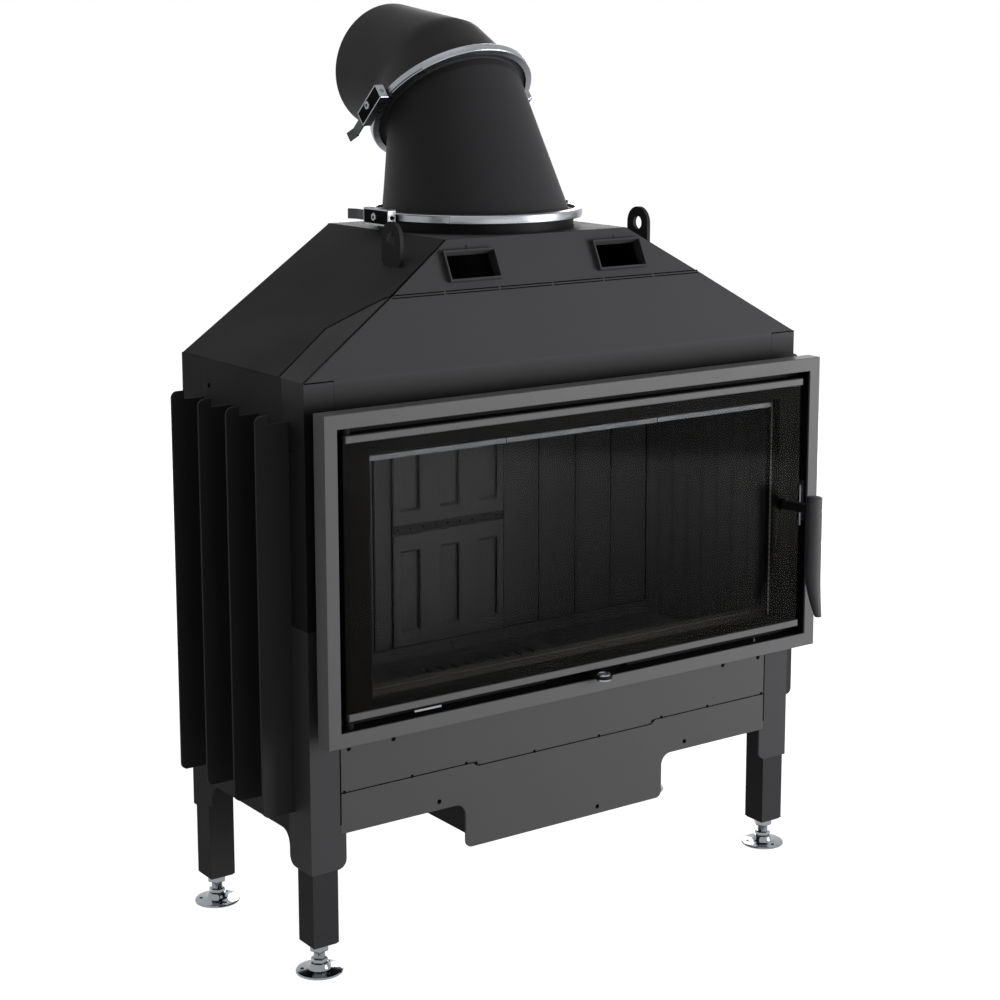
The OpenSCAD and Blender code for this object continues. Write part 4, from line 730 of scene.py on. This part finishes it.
latch_shade("lower_latch_shade", LOW_RIM, NECK, 0.0, "casing")
latch_shade("upper_latch_shade", HIGH_RIM, SWIVEL, LEAN, "outlet_cone")
clamp("lower_band_clamp", LOW_RIM, NECK, 0.0, "casing", "clamp_lower")
clamp("upper_band_clamp", HIGH_RIM, SWIVEL, LEAN, "outlet_cone", "clamp_upper")

# %% [markdown]
# ## Levelling feet
# Each foot is a pressed, plated disc with a domed hub and three screw holes, two hexagon nuts
# and a threaded spindle. The thread is a lathe profile with one groove every 2 mm.


# %% Levelling feet
def dish(sides=96):
    """The plate: its profile goes from the rim up over the dished top to the hub."""
    prof = [(0, 0), (31.0, 0), (33.0, 0.8), (33.0, 2.2), (32.0, 3.4), (29.0, 4.1), (20.0, 4.6),
            (16.5, 5.6), (14.8, 8.0), (13.6, 11.5), (12.2, 13.4), (10.0, 14.0), (8.2, 14.0)]
    return lathe(prof, sides=sides)


def thread(z0, z1, r=8.0, pitch=2.0, depth=0.7):
    """Rings down the spindle, with radius r minus a triangle wave of the given depth."""
    z = np.arange(z0, z1 + 0.01, pitch / 4)
    wave = np.abs(((z - z0) / pitch) % 1.0 - 0.5) * 2 * depth
    prof = [(0, z0)] + [(r - w, h) for w, h in zip(wave, z)] + [(0, z1)]
    return lathe(prof, sides=48)


upper_nut = lathe([(8.2, 31.6), (12.8, 31.6), (14.4, 33.0), (14.4, 40.2), (12.8, 41.6),
                   (8.2, 41.6)], sides=6)
lock_nut = lathe([(8.2, 14.4), (10.6, 14.4), (11.8, 15.4), (11.8, 19.6), (10.6, 20.6),
                  (8.2, 20.6)], sides=6, start=20.0)
sink = [(0, 0), (2.6, 0), (2.6, 0.7), (0, 0.9)]  # painted shade: a dark countersink disc, laid on the dish
sinks = [lathe(sink, (24 * math.cos(a), 24 * math.sin(a), 4.15), 20)
         for a in np.radians([30, 150, 270])]
for corner in ("front_left", "rear_left", "front_right", "rear_right"):
    foot = "foot_" + corner
    low, high = box_mm(foot)
    middle = (low + high) / 2 * [1, 1, 0]
    p, f = joined(dish(), thread(13.0, 104.5), upper_nut, lock_nut)
    piece("levelling_" + foot, p + middle, f, polished, foot, "chrome", 35.0, (foot,))
    p, f = joined(*sinks)
    piece("screw_hole_shade_" + foot, p + middle, f, shade_paint, foot, "dark", 40.0)

# %% [markdown]
# ## Handle
# The grip is a turned and bent aluminium casting: straight above, with two fine grooves and a
# flat cap, then tapering and leaning towards the user.

# %% Handle grip
GRIP_LOW, GRIP_HIGH = box_mm("handle_grip")
GRIP_R = (GRIP_HIGH[0] - GRIP_LOW[0]) / 2
GRIP_X, GRIP_D = (GRIP_HIGH[0] + GRIP_LOW[0]) / 2, GRIP_HIGH[1] - GRIP_R
TIP_Z, BEND_Z, CAP_Z = GRIP_LOW[2], GRIP_LOW[2] + 69.0, GRIP_HIGH[2]
GROOVES = (CAP_Z - 21.0, CAP_Z - 71.0)


def grip_rings(sides=64):
    """The ring at height z has its middle at depth GRIP_D - lean and a smooth taper: with s
    from 0 at the bend to 1 at the tip, r = GRIP_R (1 - 0.56 s^1.6) and lean = 14 s^1.7."""
    z = np.concatenate([np.linspace(CAP_Z - 2.4, BEND_Z, 60),
                        np.linspace(BEND_Z, TIP_Z + 0.5, 50)[1:]])
    s = np.clip((BEND_Z - z) / (BEND_Z - TIP_Z - 0.5), 0, 1)
    r = GRIP_R * (1 - 0.56 * s ** 1.6)
    for g in GROOVES:
        r = r - 0.8 * np.exp(-((z - g) / 0.9) ** 2)
    a = angles(sides)
    lean, r = (14.0 * s ** 1.7)[:, None], r[:, None]
    pts = np.stack([GRIP_X + r * np.cos(a), GRIP_D - lean + r * np.sin(a),
                    np.broadcast_to(z[:, None], (len(z), sides))], -1)
    tip_c = pts[-1].mean(0)
    tips = [np.maximum(tip_c + (pts[-1] - tip_c) * k - [0, 0, h], [-np.inf, -np.inf, TIP_Z])
            for k, h in ((0.85, 0.5), (0.5, 0.9), (0.0, 1.0))]
    caps = [np.stack([GRIP_X + GRIP_R * k * np.cos(a), GRIP_D + GRIP_R * k * np.sin(a),
                      np.full(sides, CAP_Z - h)], -1)
            for k, h in ((0.0, 0.0), (0.62, 0.0), (0.84, 0.6), (0.97, 1.8))]
    rows = np.concatenate([np.stack(caps), pts, np.stack(tips)])
    return rows.reshape(-1, 3), grid_quads(len(rows), sides, False, True).tolist()


piece("hanging_grip", *grip_rings(), grip_paint, "handle", "grip", 50.0, ("handle_grip",))

# %% [markdown]
# ## Air lever knob
# A turned and polished knob: a foot, a thin neck and a dished top with a raised screw head in
# its middle.

# %% Air lever knob
low, high = box_mm("lever_knob")
KNOB_R = (high[0] - low[0]) / 2
middle = ((low[0] + high[0]) / 2, (low[1] + high[1]) / 2, low[2])
knob = lathe([(0, 9.4), (3.0, 9.4), (3.0, 8.1), (4.4, 8.1), (6.2, 8.6), (8.0, 10.1),
              (KNOB_R - 1.4, 10.1), (KNOB_R, 8.8), (KNOB_R, 7.8), (5.0, 7.8), (5.0, 3.6),
              (KNOB_R - 0.5, 3.6), (KNOB_R, 3.1), (KNOB_R, 0.6), (KNOB_R - 0.7, 0), (0, 0)],
             middle, 72)
piece("turned_lever_knob", *knob, polished, "air_control", "chrome", 30.0, ("lever_knob",))

# %% [markdown]
# ## Moulded lining
# The firebrick panels are moulded with shallow upright flutes and narrow joints, and the two
# middle plates at the rear have three sunk fields each. Each panel is a height map on a
# grid: the relief is a function of the place on the panel, and the panel's back is flat.


# %% Relief panels
def relief_panel(u0, u1, z0, z1, height, face, back, side=False, rows_up=4):
    """A slab whose face is face + height(u, z) and whose back is flat. u runs across the fire
    and the face looks forward, or, for a side panel, u is the depth. A column stands every
    0.8 mm; rows_up rows are enough where the relief doesn't change with height."""
    us = np.linspace(u0, u1, max(int(abs(u1 - u0) / 0.8), 4))
    u, z = np.meshgrid(us, np.linspace(z0, z1, rows_up))
    front = np.stack([u, face + height(u, z), z], -1)
    rear = np.stack([u, np.full_like(u, back), z], -1)[::-1]
    pts = np.concatenate([front, rear])
    n, m = len(us), len(pts)
    faces = grid_quads(m, n, True, False).tolist()
    faces += [[k * n for k in range(m)], [k * n + n - 1 for k in range(m)][::-1]]
    pts = pts.reshape(-1, 3)
    return (pts[:, [1, 0, 2]] if side else pts), faces


def flutes(first, pitch, depth, joint=0.0, sign=1.0):
    """Concave flutes: with s from 0 to 1 across one pitch the face sinks by depth (1 - (2s-1)^2),
    so thin ridges stand between the flutes. joint is the depth of a narrow groove at s = 0."""
    def height(u, z):
        s = ((u - first) / pitch) % 1.0
        hollow = depth * (1.0 - (2.0 * s - 1.0) ** 2)
        groove = joint * np.exp(-((np.minimum(s, 1 - s) * pitch) / 1.3) ** 2)
        return sign * (hollow + groove)
    return height


PITCH = 73.0  # from one joint between bricks to the next
LEFT_JOINT, RIGHT_JOINT = -137.0, 393.0  # joints are counted from here, towards the left
REAR_LOW, REAR_HIGH = box_mm("rear_liners")
FACE = REAR_LOW[1] + 0.2
PLATE_X = box_mm("rear_plate_lower")[1][0]
left = relief_panel(REAR_LOW[0], -PLATE_X - 0.3, REAR_LOW[2], REAR_HIGH[2],
                    flutes(LEFT_JOINT, PITCH, 2.4, 6.0), FACE, REAR_HIGH[1])
right = relief_panel(PLATE_X + 0.3, REAR_HIGH[0], REAR_LOW[2], REAR_HIGH[2],
                     flutes(RIGHT_JOINT, PITCH, 3.6, 6.0), FACE, REAR_HIGH[1])
piece("rear_lining_panels", *joined(left, right), lining, "casing", "lining", 40.0,
      ("rear_liners",))
low, high = box_mm("liner_right")
for side, sign in (("left", -1.0), ("right", 1.0)):
    p, f = relief_panel(low[1] + 4.0, high[1], low[2], high[2],
                        flutes(365.0, PITCH / 2, 3.6, 0.0, sign),
                        sign * (low[0] + 0.2), sign * high[0], side=True)
    piece("side_lining_" + side, p, f, lining, "casing", "lining", 25.0, ("liner_" + side,))

# %% [markdown]
# ## Middle plates of the rear lining
# Each plate has three sunk fields, 38 mm wide, in line with those of the other plate.

# %% Middle plates
FIELD_CENTRES = [2.0 + PITCH * k for k in (-1, 0, 1)]
FIELD_HALF, FIELD_DEEP, WALL = 19.0, 5.5, 4.0  # half width, depth and wall width of a field
LOW_FIELDS, HIGH_FIELDS = (362.6, 492.0), (553.0, 725.0)  # heights of the fields in mm


def sunk_fields(z_low, z_high):
    """Three fields between z_low and z_high, their walls sloping over WALL mm. A fine groove
    runs down the plate's left edge and a low ridge down its right edge."""
    def sunk(inwards):
        return np.clip(inwards / WALL, 0, 1)

    def height(u, z):
        near = np.min([np.abs(u - c) for c in FIELD_CENTRES], axis=0)
        inside = sunk(FIELD_HALF - near) * sunk(z - z_low) * sunk(z_high - z)
        groove = 4.0 * np.exp(-((u + PLATE_X) / 2.0) ** 2)
        ridge = 0.8 * np.exp(-((u - PLATE_X + 1.0) / 1.5) ** 2)
        return FIELD_DEEP * inside + (groove - ridge)
    return height


for name, fields, rows_up in (("lower", LOW_FIELDS, 120), ("upper", HIGH_FIELDS, 140)):
    low, high = box_mm("rear_plate_" + name)
    p, f = relief_panel(low[0], high[0], low[2], high[2], sunk_fields(*fields), FACE, high[1],
                        rows_up=rows_up)
    piece(name + "_rear_plate", p, f, plate_brick, "casing", "lining", 40.0,
          ("rear_plate_" + name,))

# %% [markdown]
# ## Joints and edges of the lining
# Between the bricks are joints about a millimetre wide, black with soot. Painted shade lies
# along one end and the shaded wall of each sunk field. They are narrow black bars set into the
# grooves, and a fine lighter rim runs round the pit of the grate.

# %% Joint lines
JOINT_LOW, JOINT_HIGH = REAR_LOW[2] + 1.5, REAR_HIGH[2] - 1.5
joint_x = [RIGHT_JOINT - PITCH * k for k in (3, 2, 1)] + [LEFT_JOINT - PITCH * k for k in (0, 1, 2)]
lines = [bar(x - 0.6, x + 0.6, FACE + 0.2, FACE + 1.8, JOINT_LOW, JOINT_HIGH, 0.1)
         for x in joint_x]
lines += [bar(x - 1.1, x + 1.1, FACE - 0.5, FACE + 1.8, JOINT_LOW, JOINT_HIGH, 0.1)
          for x in (-PLATE_X - 0.1, PLATE_X + 0.4)]
# painted shade: a black bar down the shaded wall and one along one end of each sunk field
for (z0, z1), end in ((LOW_FIELDS, LOW_FIELDS[1] - 1.8), (HIGH_FIELDS, HIGH_FIELDS[0] + 1.0)):
    for c in FIELD_CENTRES:
        lines.append(bar(c + 15.6, c + 18.6, FACE + 1.2, FACE + 3.4, z0 + 3.0, z1 - 3.0, 0.2))
        lines.append(bar(c - 17.0, c + 17.0, FACE + 1.0, FACE + 2.2, end - 0.7, end + 0.7, 0.1))
side_x = REAR_HIGH[0] - 0.2
lines.append(bar(-side_x + 0.5, side_x - 0.5, FACE - 1.6, FACE + 0.4, REAR_LOW[2] + 0.1,
                 JOINT_LOW, 0.1))
for x in (side_x, -side_x):
    lines.append(bar(x - 0.9, x + 0.9, FACE - 2.8, FACE - 0.2, JOINT_LOW, JOINT_HIGH, 0.1))
piece("lining_soot_joints_and_painted_shade", *joined(*lines), shade_and_soot_black, "casing", "dark", 30.0)

RIM_W = 2.4
low, high = box_mm("grate")
x1, d0, d1 = high[0] + 5.0, low[1] - 6.0, high[1] + 4.0 + RIM_W
rim = [bar(a, b, c, d, high[2] + 0.1, high[2] + 1.0, 0.2) for a, b, c, d in
       ((-x1, x1, d0, d0 + RIM_W), (-x1, x1, d1 - RIM_W, d1),
        (-x1, -x1 + RIM_W, d0, d1), (x1 - RIM_W, x1, d0, d1))]
piece("grate_pit_rim", *joined(*rim), plate_brick, "casing", "lining", 30.0)

# %% [markdown]
# ## Cut lines on the hood
# The hood is folded along a double row of short laser-cut slots. Cuts also run along the edges
# of its side flaps and at its lower corners. They are narrow strips of black painted shade that
# lie a quarter of a millimetre proud of the sheet, so that they show as cuts from every side.


# %% Fold slots
def strip(a, b, width, normal, lift=0.25, thick=0.5):
    """A thin bar from point a to point b, width wide, lying on a face with that normal."""
    a, b, n = (np.array(v, float) for v in (a, b, normal))
    n = n / np.linalg.norm(n)
    side = np.cross(b - a, n)
    side = side / np.linalg.norm(side) * width / 2
    up, low = n * lift, n * (lift - thick)
    pts = [a - side + low, b - side + low, b + side + low, a + side + low,
           a - side + up, b - side + up, b + side + up, a + side + up]
    walls = [[0, 1, 5, 4], [1, 2, 6, 5], [2, 3, 7, 6], [3, 0, 4, 7]]
    return np.array(pts), [[0, 3, 2, 1], [4, 5, 6, 7]] + walls


TO_FRONT = (0.0, -1.0, 0.0)
FOLD_NORMAL, UP_SLOPE = (0.0, -0.935, 0.355), (0.36, 0.93)  # the slope the row lies on
FOLD_D, FOLD_Z, APART, BRIDGE = 94.0, 926.0, 1.9, 1.6
SLOT_ENDS = (-272.0, -184.0, -92.0, 0.0, 92.0, 184.0, 272.0)
CORNER_CUT = ((386.0, 56.0, 827.2), (431.0, 56.0, 827.2))
FLAP_NORMAL = (0.525, 0.0, 0.852)
FLAP = ((431.0, 121.0, 828.6), (343.0, 148.0, 883.0), (293.0, 116.0, 914.0), (273.0, 101.0, 926.3))
cuts = []
for x0, x1 in zip(SLOT_ENDS[:-1], SLOT_ENDS[1:]):
    for off in (-APART, APART):
        d, z = FOLD_D + UP_SLOPE[0] * off, FOLD_Z + UP_SLOPE[1] * off
        cuts.append(strip((x0 + BRIDGE, d, z), (x1 - BRIDGE, d, z), 1.5, FOLD_NORMAL))
for s in (-1, 1):
    cuts.append(strip(*np.array(CORNER_CUT) * [s, 1, 1], 1.8, TO_FRONT))
for s in (-1, 1):
    edge = np.array(FLAP) * [s, 1, 1]
    for a, b in zip(edge[:-1], edge[1:]):
        cuts.append(strip(a, b, 2.0, np.array(FLAP_NORMAL) * [s, 1, 1], 0.35))
piece("fold_slot_shade", *joined(*cuts), shade_and_soot_black, "casing", "dark", 30.0)

# %% [markdown]
# ## Flanges inside the hood's rear edges
# Where a side of the hood meets the rear wall, the two sheets leave an open edge. Real
# jackets close it with a folded flange on the inside, spot-welded to both. Seen through an
# air outlet it keeps the daylight out. Each one is a thin bar against the rear wall's inner
# face, and its upper edge is let half a millimetre into the hood's underside.

# %% Rear flanges
FLANGE_W = 14.0
HOOD_SLOPE, WALL_SLOPE = 0.6126, 0.1634  # rise and depth of the hood's side per mm of width
HOOD_X, WALL_X = box_mm("hood_side_right")[1][0], box_mm("rear_wall")[1][0]
flanges = []
for s in (-1, 1):
    ends = [(s * x, 399.96 + (WALL_X - x) * WALL_SLOPE, 816.7 + (HOOD_X - x) * HOOD_SLOPE)
            for x in (165.0, 425.0)]
    flanges.append(strip(*ends, FLANGE_W, (-s * WALL_SLOPE, -1.0, 0.0), 1.8, 1.5))
piece("rear_flanges", *joined(*flanges), shade_paint, "casing", "jacket", 30.0)

# %% [markdown]
# ## Dark behind the cuts of the lower panel
# On the real panel one looks through its slots and holes into the unlit space behind. Thin
# black plates of painted shade lie just behind the sheet there, 0.4 mm clear of it.

# %% Backing plates
PANEL_LOW, PANEL_HIGH = box_mm("lower_panel")
BEHIND = (PANEL_HIGH[1] + 0.4, PANEL_HIGH[1] + 1.2)
SIDE_SLOT_X, SIDE_SLOT_Z = (380.0, 391.0), (208.0, 325.0)
SCREW_HOLES, HOLE_R = ((224.0, 212.0), (299.0, 319.0), (371.0, 319.0)), 5.5
backs = []
for s in (-1, 1):
    backs.append(bar(*sorted(s * x for x in SIDE_SLOT_X), *BEHIND, *SIDE_SLOT_Z, 0.2))
    backs += [disc(s * x, z, HOLE_R, *BEHIND, 20, 0.2) for x, z in SCREW_HOLES]
backs.append(bar(50.0, 64.0, *BEHIND, 138.0, 150.0, 0.2))  # behind the apron's hole
piece("panel_cut_shade", *joined(*backs), shade_and_soot_black, "casing", "dark", 30.0)

# %% [markdown]
# ## Perforated fold of the lower panel
# The panel is bent along a row of cuts that steps down in the middle. The line is black
# painted shade, 1.6 mm wide, and has a small round relief hole, also black, wherever one cut ends.

# %% Panel fold line
PANEL_D, LINE_W = PANEL_LOW[1], 1.6
LOW_LINE, HIGH_LINE = 252.0, 258.0
STEP_IN, STEP_OUT, LINE_END = 158.0, 166.0, 384.0  # x where the line steps up and where it ends
HOLES = ((59.0, LOW_LINE), (161.0, 254.3), (178.0, HIGH_LINE), (269.0, HIGH_LINE),
         (379.0, HIGH_LINE))
fold = [strip((-STEP_IN, PANEL_D, LOW_LINE), (STEP_IN, PANEL_D, LOW_LINE), LINE_W, TO_FRONT)]
for s in (-1, 1):
    turns = [(s * STEP_IN, PANEL_D, LOW_LINE), (s * STEP_OUT, PANEL_D, HIGH_LINE),
             (s * LINE_END, PANEL_D, HIGH_LINE)]
    fold += [strip(a, b, LINE_W, TO_FRONT) for a, b in zip(turns[:-1], turns[1:])]
    fold += [disc(s * x, z + 1.2, 2.4, PANEL_D - 0.3, PANEL_D + 0.2, 16, 0.1) for x, z in HOLES]
piece("panel_fold_line_shade", *joined(*fold), shade_and_soot_black, "casing", "dark", 30.0)

# %% [markdown]
# ## Small bright and painted parts at the door
# A narrow plated strip shows under the door at the left, a small stop carries the door at
# the right, and a thin steel strip lies along the top of the sill behind the glass.

# %% Door trim
sliver = bar(-294.0, -250.0, 9.0, 12.0, 368.0, 372.0, 0.6)
piece("plated_strip", *sliver, polished, "casing", "chrome", 30.0)
rest = lathe([(0, 0), (1.8, 0), (1.8, 4.5), (1.2, 5.3), (0, 5.5)], (322.0, 12.0, 363.5), 24)
piece("door_stop", *rest, frame_paint, "casing", "frame", 30.0)
sill_strip = bar(-357.0, 357.0, 60.2, 62.4, 393.0, 394.2, 0.3)
piece("sill_strip", *sill_strip, rolled, "casing", "lining", 30.0)

# %% [markdown]
# ## Floor
# A plain pale floor. The camera sees it almost white: it glows a little less near the insert,
# so that the soft shadow of the feet shows there, and fades into the white background.

# %% Floor
NEAR, FAR = 0.9, 2.4  # metres from the middle between which the glow grows
FLOOR_REACH, FLOOR_Z = 30.0, -0.0005
floor_mat, ft = blank_material("pale_studio_floor")
place = link_node(ft, "ShaderNodeTexCoord")
reach = link_node(ft, "ShaderNodeVectorMath", {"operation": "LENGTH"}, {},
                  {0: place.outputs["Object"]})
level = link_node(ft, "ShaderNodeMapRange", {},
                  {"From Min": NEAR, "From Max": FAR, "To Min": 0.88, "To Max": 1.0},
                  {"Value": reach.outputs["Value"]})
matt = link_node(ft, "ShaderNodeBsdfDiffuse", {}, {"Color": (0.85, 0.85, 0.85, 1.0)})
glow = link_node(ft, "ShaderNodeEmission", {}, {"Color": WHITE}, {"Strength": level.outputs[0]})
added = link_node(ft, "ShaderNodeAddShader", {}, {}, {0: matt.outputs[0], 1: glow.outputs[0]})
mixed = link_node(ft, "ShaderNodeMixShader", {}, {},
                  {0: seen_rays(ft), 1: matt.outputs[0], 2: added.outputs[0]})
link_node(ft, "ShaderNodeOutputMaterial", {}, {}, {"Surface": mixed.outputs[0]})
floor_mesh = bpy.data.meshes.new("studio_floor")
corners = [(x * FLOOR_REACH, y * FLOOR_REACH, FLOOR_Z)
           for x, y in ((-1, -1), (1, -1), (1, 1), (-1, 1))]
floor_mesh.from_pydata(corners, [], [[0, 1, 2, 3]])
floor_mesh.materials.append(floor_mat)
floor = bpy.data.objects.new("studio_floor", floor_mesh)
scene.collection.objects.link(floor)
print("floor:", 2 * FLOOR_REACH, "metres square")
